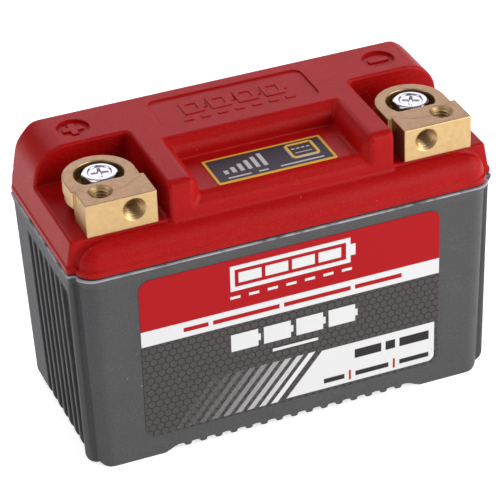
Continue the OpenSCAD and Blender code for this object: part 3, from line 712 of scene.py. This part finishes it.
def post_field(side):
    """Brass post: round foot, D-shaped plate on top, stem down through the cover."""
    lug_x = LUG_X[side > 0]
    post_x = POST_X[side > 0]
    low_z = box_mm("pos_terminal_post")[0][2]

    def field(x, y, z):
        away = np.hypot(x - post_x, y - POST_Y)
        plate = round_max(disc(x, y, (lug_x, LUG_Y), LUG_R - 0.4), BLOCK_Y[1] + 0.1 - y, 0.3)
        plate = round_max(plate, slab(z, LUG_Z - 2.6, LUG_Z), 0.3)
        foot = round_max(away - POST_FOOT_R, BLOCK_Y[1] + 0.1 - y, 0.3)
        foot = np.maximum(foot, slab(z, POCKET_Z, LUG_Z - 1))
        stem = round_max(away - POST_STEM_R, slab(z, low_z, POCKET_Z + 1), 0.4)
        body = np.minimum(round_min(plate, foot, 0.3), stem)
        return cut(body, np.maximum(away - POST_BORE_R, low_z + 2 - z), 0.2)

    return field


def post_grid(side):
    low, high = box_mm(f"{side_name(side)}_terminal_post")
    return [grid_line((low[d] - 0.5, 0.3), (high[d] + 0.5, 1)) for d in range(3)]


SCREW_LOW, SCREW_HIGH = box_mm("pos_adapter_screw")
HEAD_H = 3
HEAD_FLAT = 5
HEAD_R = 5.5
CROWN_R = 4.7
DISH_R = 3.6
CROSS_ARM = (2.7, 0.62)
CROSS_DEPTH = 2.2
SHANK_R = 2.95
SHANK_THREAD_H = 0.3
SCREW_TURN = (math.radians(-9), math.radians(-27))


def screw_field(side):
    """Hexagon head screw with a cross recess and a chamfered top, on the post's axis."""
    turned = SCREW_TURN[side > 0]
    top = SCREW_HIGH[2]
    post_x = POST_X[side > 0]

    def field(x, y, z):
        u = (x - post_x) * math.cos(turned) + (y - POST_Y) * math.sin(turned)
        v = (y - POST_Y) * math.cos(turned) - (x - post_x) * math.sin(turned)
        away = np.hypot(u, v)
        hexagon = np.maximum(np.abs(v), np.abs(u) * math.cos(math.pi / 6) + np.abs(v) * 0.5) - HEAD_FLAT
        head = round_max(hexagon, away - HEAD_R, 0.1)
        head = round_max(head, slab(z, top - HEAD_H, top), 0.25)
        crown = (away - CROWN_R) * 0.5 + (z - top) * 0.87
        head = round_max(head, crown, 0.2)
        dish = np.maximum(away - DISH_R - (z - top) * 0.8, top - 0.4 - z)
        head = cut(head, dish, 0.12)
        arms = round_min(rect(u, v, *CROSS_ARM, 0.3), rect(v, u, *CROSS_ARM, 0.3), 0.6)
        taper = (top - z) * 0.3
        cross = np.maximum(arms + taper, top - CROSS_DEPTH - z)
        head = cut(head, cross, 0.1)
        phase = (z / THREAD_PITCH - np.arctan2(v, u) / (2 * math.pi)) % 1
        fade = smooth_step((top - HEAD_H - 0.6 - z) * 2)
        thread = SHANK_THREAD_H * (1 - np.abs(2 * phase - 1)) * fade
        shank = np.maximum((away - SHANK_R + thread) * 0.8, slab(z, SCREW_LOW[2], top - 1))
        return np.minimum(head, shank)

    return field


def screw_grid(side):
    low, high = box_mm(f"{side_name(side)}_adapter_screw")
    x = grid_line((low[0] - 0.5, 0.16), (high[0] + 0.5, 1))
    y = grid_line((low[1] - 0.5, 0.16), (high[1] + 0.5, 1))
    z = grid_line((low[2] - 0.5, 0.22), (high[2] - HEAD_H - 0.3, 0.12), (high[2] + 0.4, 1))
    return x, y, z


# ---- gauge ----


BUTTON_FLANGE = 0.5
BUTTON_STEM_R = 1.5
CAP_HALF = BUTTON_HALF - BUTTON_FLANGE


def button_field(x, y, z):
    """Cap of the test button: a raised rounded frame round a sunken face, a flange and a stem."""
    half = CAP_HALF
    u = x - BUTTON_CENTRE[0]
    v = y - BUTTON_CENTRE[1]
    top = BUTTON_HIGH[2]
    cap = round_max(rect(u, v, half[0], half[1], BUTTON_CORNER_R), slab(z, top - 1, top), 0.25)
    face = np.maximum(rect(u, v, half[0] - 1.0, half[1] - 0.9, 0.5), top - 0.22 - z)
    cap = cut(cap, face, 0.1)
    flange = rect(u, v, half[0] + BUTTON_FLANGE, half[1] + BUTTON_FLANGE, BUTTON_CORNER_R)
    flange = np.maximum(flange, slab(z, top - 1, top - 0.6))
    stem = np.maximum(np.hypot(u, v) - BUTTON_STEM_R, slab(z, BUTTON_LOW[2], top - 0.9))
    return np.minimum(np.minimum(cap, flange), stem)


def button_grid():
    low, high = BUTTON_LOW, BUTTON_HIGH
    x = grid_line((low[0] - 0.4, 0.15), (high[0] + 0.4, 1))
    y = grid_line((low[1] - 0.4, 0.15), (high[1] + 0.4, 1))
    z = grid_line((low[2] - 0.4, 0.25), (high[2] - 1.1, 0.08), (high[2] + 0.3, 1))
    return x, y, z


# ---- materials ----


LID_RED = (0.33, 0.002, 0.002)
# Lighter red on the tops of the grain: grain tone that also paints its sparkle.
LID_GRAIN_AND_SPARKLE = (0.47, 0.014, 0.016)
CASE_GREY = (0.069, 0.069, 0.07)
# Lighter grey on the tops of the grain: grain tone that also paints its sparkle.
CASE_GRAIN_AND_SPARKLE = (0.122, 0.121, 0.125)
# Painted highlight colour for the top edge of the case rim.
PAINTED_RIM_HIGHLIGHT = (0.45, 0.44, 0.48)
# Painted glints: colour of sparse pale specks on the plastic.
PAINTED_GLINT = (0.7, 0.65, 0.65)
# Brass colours: a lit copy for the sides and a darker painted-shade copy for faces that look up.
BRASS_SIDE_LIT = (0.6, 0.41, 0.2)
BRASS_SIDE_LIT_STAIN = (0.52, 0.355, 0.165)
BRASS_TOP_SHADED = (0.42, 0.28, 0.16)
BRASS_TOP_SHADED_STAIN = (0.34, 0.22, 0.125)
BRASS_SCRATCH = (0.3, 0.19, 0.09)
ZINC = (0.54, 0.55, 0.56)
ZINC_STAIN = (0.38, 0.39, 0.41)
SILVER_INK = (0.45, 0.44, 0.45)
LABEL_INKS = {
    "white": (0.64, 0.64, 0.64),
    "red": (0.355, 0.005, 0.008),
    "dark": (0.026, 0.023, 0.023),
    "grey": (0.067, 0.061, 0.061),
}
PLASTIC_GLOSS = 0.1
FILM_GLOSS = 0.12
LABEL_GLOSS = 0.09
PRINT_EDGE = 0.06


class Value:
    """A number in a material's node tree. Arithmetic on it adds Math nodes."""

    def __init__(self, tree, socket):
        self.tree = tree
        self.socket = socket

    def math(self, operation, *others):
        node = self.tree.nodes.new("ShaderNodeMath")
        node.operation = operation
        for i, item in enumerate((self, *others)):
            if isinstance(item, Value):
                self.tree.links.new(item.socket, node.inputs[i])
            else:
                node.inputs[i].default_value = item
        return Value(self.tree, node.outputs[0])

    def __add__(self, other):
        return self.math("ADD", other)

    def __sub__(self, other):
        return self.math("SUBTRACT", other)

    def __rsub__(self, other):
        return self * -1 + other

    def __mul__(self, other):
        return self.math("MULTIPLY", other)

    def abs(self):
        return self.math("ABSOLUTE")

    def max(self, other):
        return self.math("MAXIMUM", other)

    def min(self, other):
        return self.math("MINIMUM", other)

    def wrap(self, period):
        """Remainder of the value, between zero and the period."""
        return self.math("FLOORED_MODULO", period)

    def ramp(self, low, high):
        """0 below low, 1 above high; low may be above high."""
        node = self.tree.nodes.new("ShaderNodeMapRange")
        node.inputs["From Min"].default_value = low
        node.inputs["From Max"].default_value = high
        self.tree.links.new(self.socket, node.inputs["Value"])
        return Value(self.tree, node.outputs["Result"])


class Finish:
    """A material built round one Principled shader, with the object's own place in millimetres."""

    def __init__(self, name, roughness, metallic=0.0, gloss=0.5):
        self.material = bpy.data.materials.new(name)
        self.material.use_nodes = True
        self.tree = self.material.node_tree
        self.shader = self.tree.nodes["Principled BSDF"]
        self.shader.inputs["Roughness"].default_value = roughness
        self.shader.inputs["Metallic"].default_value = metallic
        self.shader.inputs["Specular IOR Level"].default_value = gloss
        self.object_place = self.new("ShaderNodeTexCoord").outputs["Object"]
        split = self.new("ShaderNodeSeparateXYZ")
        self.link(self.object_place, split.inputs[0])
        self.x, self.y, self.z = [Value(self.tree, split.outputs[i]) * (1 / MM) for i in range(3)]

    def new(self, kind):
        return self.tree.nodes.new(kind)

    def link(self, output, target):
        self.tree.links.new(output, target)

    def colour(self, rgb):
        node = self.new("ShaderNodeRGB")
        node.outputs[0].default_value = (*rgb, 1)
        return node.outputs[0]

    def mix(self, share, first, second):
        """Colour that goes from first to second as share goes from 0 to 1."""
        node = self.new("ShaderNodeMix")
        node.data_type = "RGBA"
        self.link(share.socket, node.inputs["Factor"])
        self.link(first, node.inputs["A"])
        self.link(second, node.inputs["B"])
        return node.outputs["Result"]

    def noise(self, size_mm, detail=2.0, stretch=(1, 1, 1)):
        """Noise with features of about size_mm, stretched along the axes where stretch is above 1."""
        scale = self.new("ShaderNodeVectorMath")
        scale.operation = "MULTIPLY"
        scale.inputs[1].default_value = [1 / (MM * size_mm * s) for s in stretch]
        self.link(self.object_place, scale.inputs[0])
        node = self.new("ShaderNodeTexNoise")
        node.inputs["Scale"].default_value = 1
        node.inputs["Detail"].default_value = detail
        self.link(scale.outputs[0], node.inputs["Vector"])
        return Value(self.tree, node.outputs["Fac"])

    def bump(self, height, depth_mm):
        """Adds relief of depth_mm on top of any relief that is already there."""
        node = self.new("ShaderNodeBump")
        node.inputs["Strength"].default_value = 1
        node.inputs["Distance"].default_value = depth_mm * MM
        self.link(height.socket, node.inputs["Height"])
        before = self.shader.inputs["Normal"]
        if before.is_linked:
            self.link(before.links[0].from_socket, node.inputs["Normal"])
        self.link(node.outputs[0], before)

    def set_colour(self, socket):
        self.link(socket, self.shader.inputs["Base Color"])

    def set_roughness(self, value):
        self.link(value.socket, self.shader.inputs["Roughness"])

    def facing_up(self):
        """1 on faces that look straight up, 0 on upright ones."""
        split = self.new("ShaderNodeSeparateXYZ")
        self.link(self.new("ShaderNodeNewGeometry").outputs["Normal"], split.inputs[0])
        return Value(self.tree, split.outputs[2])


def textured_plastic(name, rgb, grain_and_sparkle, roughness, grain_mm, relief_mm, highlight_z=None):
    """Moulded plastic: eroded-mould grain with its tops painted lighter as sparkle, faint clouds, pale
    specks painted as glints, and a painted highlight on the edge above the given height.
    """
    finish = Finish(name, roughness, gloss=PLASTIC_GLOSS)
    cloud = finish.noise(14, 3).ramp(0.3, 0.7)
    grain = finish.noise(grain_mm, 2)
    darker = finish.colour([c * 0.95 for c in rgb])
    lighter = finish.colour([c * 1.05 for c in rgb])
    base = finish.mix(cloud, darker, lighter)
    # Tops of the grain painted lighter: grain tone and painted sparkle.
    base = finish.mix(grain.ramp(0.5, 0.75) * 0.6, base, finish.colour(grain_and_sparkle))
    # Painted highlight along the top edge of the case rim, broken up by noise.
    if highlight_z is not None:
        rim_highlight = (finish.z - highlight_z).ramp(0, 0.12) * finish.noise(5, 2).ramp(0.3, 0.55)
        base = finish.mix(rim_highlight * 0.85, base, finish.colour(PAINTED_RIM_HIGHLIGHT))
    # Painted glints: sparse pale specks that stand in for light catching the grain.
    glints = finish.noise(1.1, 1).ramp(0.815, 0.83)
    finish.set_colour(finish.mix(glints * 0.5, base, finish.colour(PAINTED_GLINT)))
    finish.set_roughness(finish.noise(3, 2) * 0.14 + (roughness - 0.07))
    finish.bump(grain, relief_mm)
    finish.bump(finish.noise(grain_mm * 3.3, 1), relief_mm * 0.4)
    return finish.material


def brass():
    """Sawn brass: dull sandy top painted darker as shade, brighter brushed front painted as lit, golden
    brown in the holes.
    """
    finish = Finish("brass", 0.4, 1.0)
    # Faces that look up get the darker colour: painted shade.
    up = finish.facing_up().ramp(0.5, 0.9)
    stain = finish.noise(1.6, 4).ramp(0.3, 0.75)
    side = finish.mix(stain, finish.colour(BRASS_SIDE_LIT), finish.colour(BRASS_SIDE_LIT_STAIN))
    top = finish.mix(stain, finish.colour(BRASS_TOP_SHADED), finish.colour(BRASS_TOP_SHADED_STAIN))
    scratch = finish.noise(0.22, 2, (9, 1, 1)).ramp(0.62, 0.8)
    colour = finish.mix(up, side, top)
    finish.set_colour(finish.mix(scratch * 0.25, colour, finish.colour(BRASS_SCRATCH)))
    finish.set_roughness(up * 0.1 + finish.noise(0.5, 3) * 0.14 + 0.33)
    finish.bump(finish.noise(0.16, 2, (14, 1, 1)), 0.012)
    finish.bump(finish.noise(0.18, 3), 0.006)
    return finish.material


def zinc():
    """Zinc plating: bright, faintly mottled steel."""
    finish = Finish("zinc", 0.2, 1.0)
    tint = finish.noise(1.5, 2)
    finish.set_colour(finish.mix(tint, finish.colour(ZINC), finish.colour(ZINC_STAIN)))
    finish.set_roughness(finish.noise(0.4, 3) * 0.16 + 0.1)
    finish.bump(finish.noise(0.35, 2), 0.012)
    return finish.material


def plain(name, rgb, roughness, metallic=0.0, grain_mm=0.5, relief_mm=0.01):
    """Simple finish for what lies inside: slightly uneven colour and a fine grain."""
    finish = Finish(name, roughness, metallic)
    tone = finish.noise(grain_mm * 4, 3)
    finish.set_colour(finish.mix(tone, finish.colour([c * 0.85 for c in rgb]), finish.colour(rgb)))
    finish.bump(finish.noise(grain_mm, 2), relief_mm)
    return finish.material


def box_mask(u, v, left, right, low, high):
    """1 inside a rectangle of the given edges, 0 outside."""
    out_u = (u - (left + right) / 2).abs() - (right - left) / 2
    out_v = (v - (low + high) / 2).abs() - (high - low) / 2
    return out_u.max(out_v).ramp(PRINT_EDGE, -PRINT_EDGE)


def hexagon_lines(u, v, pitch, width):
    """1 along the edges of a honeycomb whose cells are pitch wide across flats."""
    tall = pitch * math.sqrt(3)

    def cell(du, dv):
        a = (u + du).wrap(pitch) - pitch / 2
        b = (v + dv).wrap(tall) - tall / 2
        return a, b

    a1, b1 = cell(0, 0)
    a2, b2 = cell(pitch / 2, tall / 2)

    def reach(a, b):
        return (a.abs() * 0.5 + b.abs() * (math.sqrt(3) / 2)).max(a.abs())

    return reach(a1, b1).min(reach(a2, b2)).ramp(pitch / 2 - width, pitch / 2 - width * 0.4)


def print_boxes(finish, colour, ink, u, v, boxes):
    """The colour with boxes (left, right, low, high) printed over it in another ink."""
    mask = box_mask(u, v, *boxes[0])
    for box in boxes[1:]:
        mask = mask.max(box_mask(u, v, *box))
    return finish.mix(mask, colour, ink)


def row(count, first, pitch, width, low, high):
    """A row of equal boxes, the first of them starting at first."""
    lefts = [first + pitch * i for i in range(count)]
    return [(left, left + width, low, high) for left in lefts]


HONEYCOMB_PITCH = 2.45
HONEYCOMB_LINE = 0.2
BAND_H = 17.4
STRIPE_H = 5.3
FIELD_TOP_Z = 23.0
FIELD_CORNER_R = 2.2
FADING_BARS = 9
FADING_PITCH = 3.85
FADING_HALF = 1.05
SLANT = 0.84

# generic pictures in place of any lettering: a battery sign, cell signs and plain dashes
LABEL_PICTURES = (
    ("white", [(-19.4, 18.6, 51.9, 60.6)]),
    ("red", [(-18.0, 17.2, 53.3, 59.2)]),
    ("white", [(18.6, 20.2, 54.3, 58.2), *row(4, -16.8, 8.4, 7.2, 54.5, 58.0)]),
    ("white", row(7, -19.6, 5.9, 3.2, 49.2, 50.1)),
    ("red", [(-34.4, -26.6, 42.0, 43.5), (-25.2, -4.2, 42.0, 43.5)]),
    ("red", [(-2.8, 18.6, 42.0, 43.5), (20.0, 35.2, 42.0, 43.5)]),
    ("white", row(4, -19.8, 10.4, 8.6, 30.6, 36.6)),
    ("white", row(4, -11.2, 10.4, 0.8, 32.4, 34.8)),
    ("white", [(-6.7, 7.9, 27.0, 28.0)]),
    ("dark", [(19.8, 28.6, 16.8, 20.0), (30.0, 33.2, 16.8, 20.0), (34.6, 44.4, 16.8, 20.0)]),
    ("dark", [(9.6, 16.4, 10.3, 12.0), (20.0, 31.0, 10.3, 12.0), (34.6, 44.4, 10.3, 12.0)]),
    ("red", row(2, 17.85, 14.6, 0.7, 9.4, 12.9)),
)


def label_ground(finish, u, v, inks):
    """Red band, white stripe, grey honeycomb, fading slanted bars and a white corner field."""
    base_z = LABEL_LOW[2] + 0.7
    band_z = LABEL_HIGH[2] - BAND_H
    honeycomb = hexagon_lines(u, v, HONEYCOMB_PITCH, HONEYCOMB_LINE)
    colour = finish.mix(honeycomb, inks["grey"], inks["dark"])
    slanted_u = u - (v - 8) * SLANT
    from_middle = (v - (base_z + FIELD_TOP_Z) / 2).abs()
    for i in range(FADING_BARS):
        centre = -6.7 - FADING_PITCH * i
        bar = ((slanted_u - centre).abs() - FADING_HALF).max(from_middle - 7.5)
        strength = 0.03 + 0.97 * (1 - i / FADING_BARS) ** 2.4
        colour = finish.mix(bar.ramp(PRINT_EDGE, -PRINT_EDGE) * strength, colour, inks["white"])
    over_u = (u - (LABEL_HIGH[0] - 1.3 - FIELD_CORNER_R)).max(0)
    over_v = (base_z + 0.4 + FIELD_CORNER_R - v).max(0)
    rounded = (over_u * over_u + over_v * over_v).math("SQRT") - FIELD_CORNER_R
    field = (-3.1 - slanted_u).max(v - FIELD_TOP_Z + 0.35).max(rounded)
    colour = finish.mix(field.ramp(PRINT_EDGE, -PRINT_EDGE), colour, inks["white"])
    colour = finish.mix((v - band_z + STRIPE_H).ramp(-0.05, 0.05), colour, inks["white"])
    return finish.mix((v - band_z).ramp(-0.05, 0.05), colour, inks["red"])


def label_print():
    """Front label: its coloured ground with plain pictures printed on it."""
    finish = Finish("label_print", 0.38, gloss=LABEL_GLOSS)
    u, v = finish.x, finish.z
    inks = {name: finish.colour(rgb) for name, rgb in LABEL_INKS.items()}
    colour = label_ground(finish, u, v, inks)
    for ink, boxes in LABEL_PICTURES:
        colour = print_boxes(finish, colour, inks[ink], u, v, boxes)
    finish.set_colour(colour)
    finish.bump(finish.noise(0.7, 2), 0.004)
    return finish.material


def overlay_print():
    """Gauge overlay: dark film with a gold edge, rising bars and plain dashes for lettering."""
    finish = Finish("overlay_print", 0.42, gloss=FILM_GLOSS)
    u, v = finish.x, finish.y
    low, high = OVERLAY_LOW, OVERLAY_HIGH
    dark = finish.colour((0.035, 0.024, 0.034))
    gold = finish.colour((0.62, 0.33, 0.025))
    silver = finish.colour(SILVER_INK)
    inner = (low[0] + 0.85, high[0] - 0.85, low[1] + 0.8, high[1] - 0.8)
    bars = [(-14.7 + 2.43 * i, -13.4 + 2.43 * i, -17.4, -15.3 + 1.02 * i) for i in range(6)]
    dashes = [(left, right, -20.1, -19.4) for left, right in ((-14.7, -7.6), (-5.2, -2.2), (1.6, 15.2))]
    colour = print_boxes(finish, gold, dark, u, v, [inner])
    colour = print_boxes(finish, colour, silver, u, v, bars + dashes)
    finish.set_colour(colour)
    finish.bump(finish.noise(0.4, 2), 0.006)
    return finish.material


def button_print():
    """Test button: gold frame with a pale outer edge, dark face and plain silver dashes."""
    finish = Finish("button_print", 0.4, gloss=FILM_GLOSS)
    u = finish.x - BUTTON_CENTRE[0]
    v = finish.y - BUTTON_CENTRE[1]
    silver = finish.colour(SILVER_INK)
    gold = finish.colour((0.68, 0.38, 0.03))
    dark = finish.colour((0.03, 0.02, 0.03))

    def inset(edge_u, edge_v):
        half_u = CAP_HALF[0] - edge_u
        half_v = CAP_HALF[1] - edge_v
        return [(-half_u, half_u, -half_v, half_v)]

    colour = print_boxes(finish, silver, gold, u, v, inset(0.25, 0.25))
    colour = print_boxes(finish, colour, dark, u, v, inset(1.05, 0.95))
    dashes = [(-2.6, 2.7, -1.4, -1.0), *row(4, -2.9, 1.55, 1.05, 0.9, 1.5)]
    finish.set_colour(print_boxes(finish, colour, silver, u, v, dashes))
    return finish.material


# ---- building ----


def build_shells():
    """Cover with the pictures on its top, and case."""
    red = textured_plastic("lid_plastic", LID_RED, LID_GRAIN_AND_SPARKLE, 0.4, 0.42, 0.06)
    grey = textured_plastic("case_plastic", CASE_GREY, CASE_GRAIN_AND_SPARKLE, 0.5, 0.36, 0.05, PAINTED_HIGHLIGHT_Z)
    lid = field_mesh("cover_shell", lid_field, lid_grid())
    add_piece("cover_shell", lid, red, "battery", ["lid"])
    for name, field, grid in (
        ("plus_sign", sign_field(-1), sign_grid(-1)),
        ("minus_sign", sign_field(1), sign_grid(1)),
        ("panel_relief", panel_relief, panel_relief_grid()),
    ):
        add_piece(name, field_mesh(name, field, grid), red, "battery")
    case = field_mesh("case_shell", case_field, case_grid())
    add_piece("case_shell", case, grey, "battery", ["case"])


def build_terminals():
    """Adapter, post and screw on each side; returns the two metals for the CAD nodes beside them."""
    metal = brass()
    bright = zinc()
    for side in (-1, 1):
        name = side_name(side)
        mesh = field_mesh(f"{name}_adapter", adapter_field(side), adapter_grid(side))
        add_piece(f"{name}_adapter", mesh, metal, "battery", [f"{name}_terminal_adapter"])
        mesh = field_mesh(f"{name}_post", post_field(side), post_grid(side))
        add_piece(f"{name}_post", mesh, metal, "battery", [f"{name}_terminal_post"])
        mesh = field_mesh(f"{name}_screw_body", screw_field(side), screw_grid(side))
        add_piece(
            f"{name}_screw_body", mesh, bright, f"{name}_screw", [f"{name}_adapter_screw"]
        )
    return metal, bright


def build_gauge():
    mesh = field_mesh("button_cap", button_field, button_grid())
    add_piece("button_cap", mesh, button_print(), "button", ["test_button"])


def dress_nodes(metal, bright):
    """Gives every CAD node that stays on show its own finish."""
    rubber = plain("rubber", (0.018, 0.018, 0.02), 0.75)
    nickel = plain("nickel", (0.66, 0.65, 0.62), 0.3, 1.0)
    board = plain("board", (0.01, 0.11, 0.05), 0.35)
    moulded = plain("moulded_black", (0.03, 0.03, 0.032), 0.55)
    pale = plain("pale_plastic", (0.78, 0.77, 0.72), 0.45)
    finishes = {
        "front_label": label_print(),
        "gauge_overlay": overlay_print(),
        "case_seal": rubber,
        "lower_cell_holder": moulded,
        "upper_cell_holder": moulded,
        "tact_switch": moulded,
        "bms_mosfets": moulded,
        "bms_small_parts": moulded,
        "gauge_board": board,
        "bms_board": board,
        "balance_connector": pale,
        "switch_plunger": pale,
        "light_guides": pale,
        "gauge_leds": pale,
        "cell_insulators": plain("pressed_paper", (0.7, 0.66, 0.52), 0.8),
        "gauge_board_screws": bright,
        "bms_board_screws": bright,
        "balance_leads": plain("red_sheath", (0.4, 0.02, 0.02), 0.4),
        "gauge_leads": plain("black_sheath", (0.02, 0.02, 0.02), 0.4),
    }
    can = plain("cell_can", (0.62, 0.62, 0.64), 0.28, 1.0)
    sleeve = plain("cell_sleeve", (0.02, 0.13, 0.36), 0.3)
    foam = plain("foam", (0.03, 0.03, 0.032), 0.9, grain_mm=1.2, relief_mm=0.15)
    for i in range(1, 5):
        finishes[f"cell_{i}"] = can
        finishes[f"sleeve_{i}"] = sleeve
    for end in ("front", "rear"):
        finishes[f"foam_pad_{end}"] = foam
    for name in ("link_1_2", "link_2_3", "link_3_4", "pos_bus_bar", "neg_bus_bar"):
        finishes[name] = nickel
    for side in ("pos", "neg"):
        finishes[f"{side}_screw_washer"] = bright
        finishes[f"{side}_post_seal"] = rubber
        finishes[f"{side}_post_nut"] = metal
    for name, material in finishes.items():
        data = NODES[name].data
        data.materials.clear()
        data.materials.append(material)


# ---- stage ----


FLOOR_DULL = (0.76, 0.76, 0.76)
FLOOR_PALE = (0.79, 0.79, 0.79)
FLOOR_GLOW = 0.66
FLOOR_HALF = 3.0
WORLD_STRENGTH = 0.23

# name, place in metres, size in metres, watts, colour
SOFTBOXES = (
    ("key_softbox", (0.86, -0.75, 0.5), (1.3, 0.9), 17.4, (1, 1, 1)),
    ("back_softbox", (0.2, 0.85, 0.58), (1.1, 0.6), 4.4, (0.94, 0.88, 1)),
    ("top_softbox", (-0.3, 0.1, 1.2), (0.6, 0.6), 2.4, (1, 1, 1)),
    ("left_softbox", (-1.1, 0.1, 0.62), (0.8, 0.6), 3.7, (0.95, 0.9, 1)),
)


def area_light(name, place, size, power, colour):
    """Rectangular light that faces the battery's middle."""
    data = bpy.data.lights.new(name, "AREA")
    data.shape = "RECTANGLE"
    data.size, data.size_y = size
    data.energy = power
    data.color = colour
    light = bpy.data.objects.new(name, data)
    light.location = place
    light.rotation_euler = (CAMERA_TARGET - Vector(place)).to_track_quat("-Z", "Y").to_euler()
    bpy.context.scene.collection.objects.link(light)


def add_floor():
    """Pale floor that glows a little, so that it stays white under the object."""
    finish = Finish("pale_floor", 0.85, gloss=PLASTIC_GLOSS)
    dull = finish.colour(FLOOR_DULL)
    pale = finish.colour(FLOOR_PALE)
    finish.set_colour(finish.mix(finish.noise(60, 2), dull, pale))
    finish.shader.inputs["Emission Color"].default_value = (1, 1, 1, 1)
    finish.shader.inputs["Emission Strength"].default_value = FLOOR_GLOW
    mesh = bpy.data.meshes.new("floor")
    far = FLOOR_HALF
    mesh.from_pydata([(-far, -far, 0), (far, -far, 0), (far, far, 0), (-far, far, 0)], [], [(0, 1, 2, 3)])
    mesh.materials.append(finish.material)
    floor = bpy.data.objects.new("floor", mesh)
    bpy.context.scene.collection.objects.link(floor)


def light_studio():
    """Even white surroundings and four softboxes."""
    world = bpy.data.worlds.new("studio")
    world.use_nodes = True
    background = world.node_tree.nodes["Background"]
    background.inputs["Color"].default_value = (1, 1, 1, 1)
    background.inputs["Strength"].default_value = WORLD_STRENGTH
    bpy.context.scene.world = world
    for softbox in SOFTBOXES:
        area_light(*softbox)
    bpy.context.scene.view_settings.view_transform = "Standard"


add_camera()
build_shells()
brass_finish, zinc_finish = build_terminals()
build_gauge()
dress_nodes(brass_finish, zinc_finish)
add_floor()
light_studio()

bpy.context.view_layer.update()
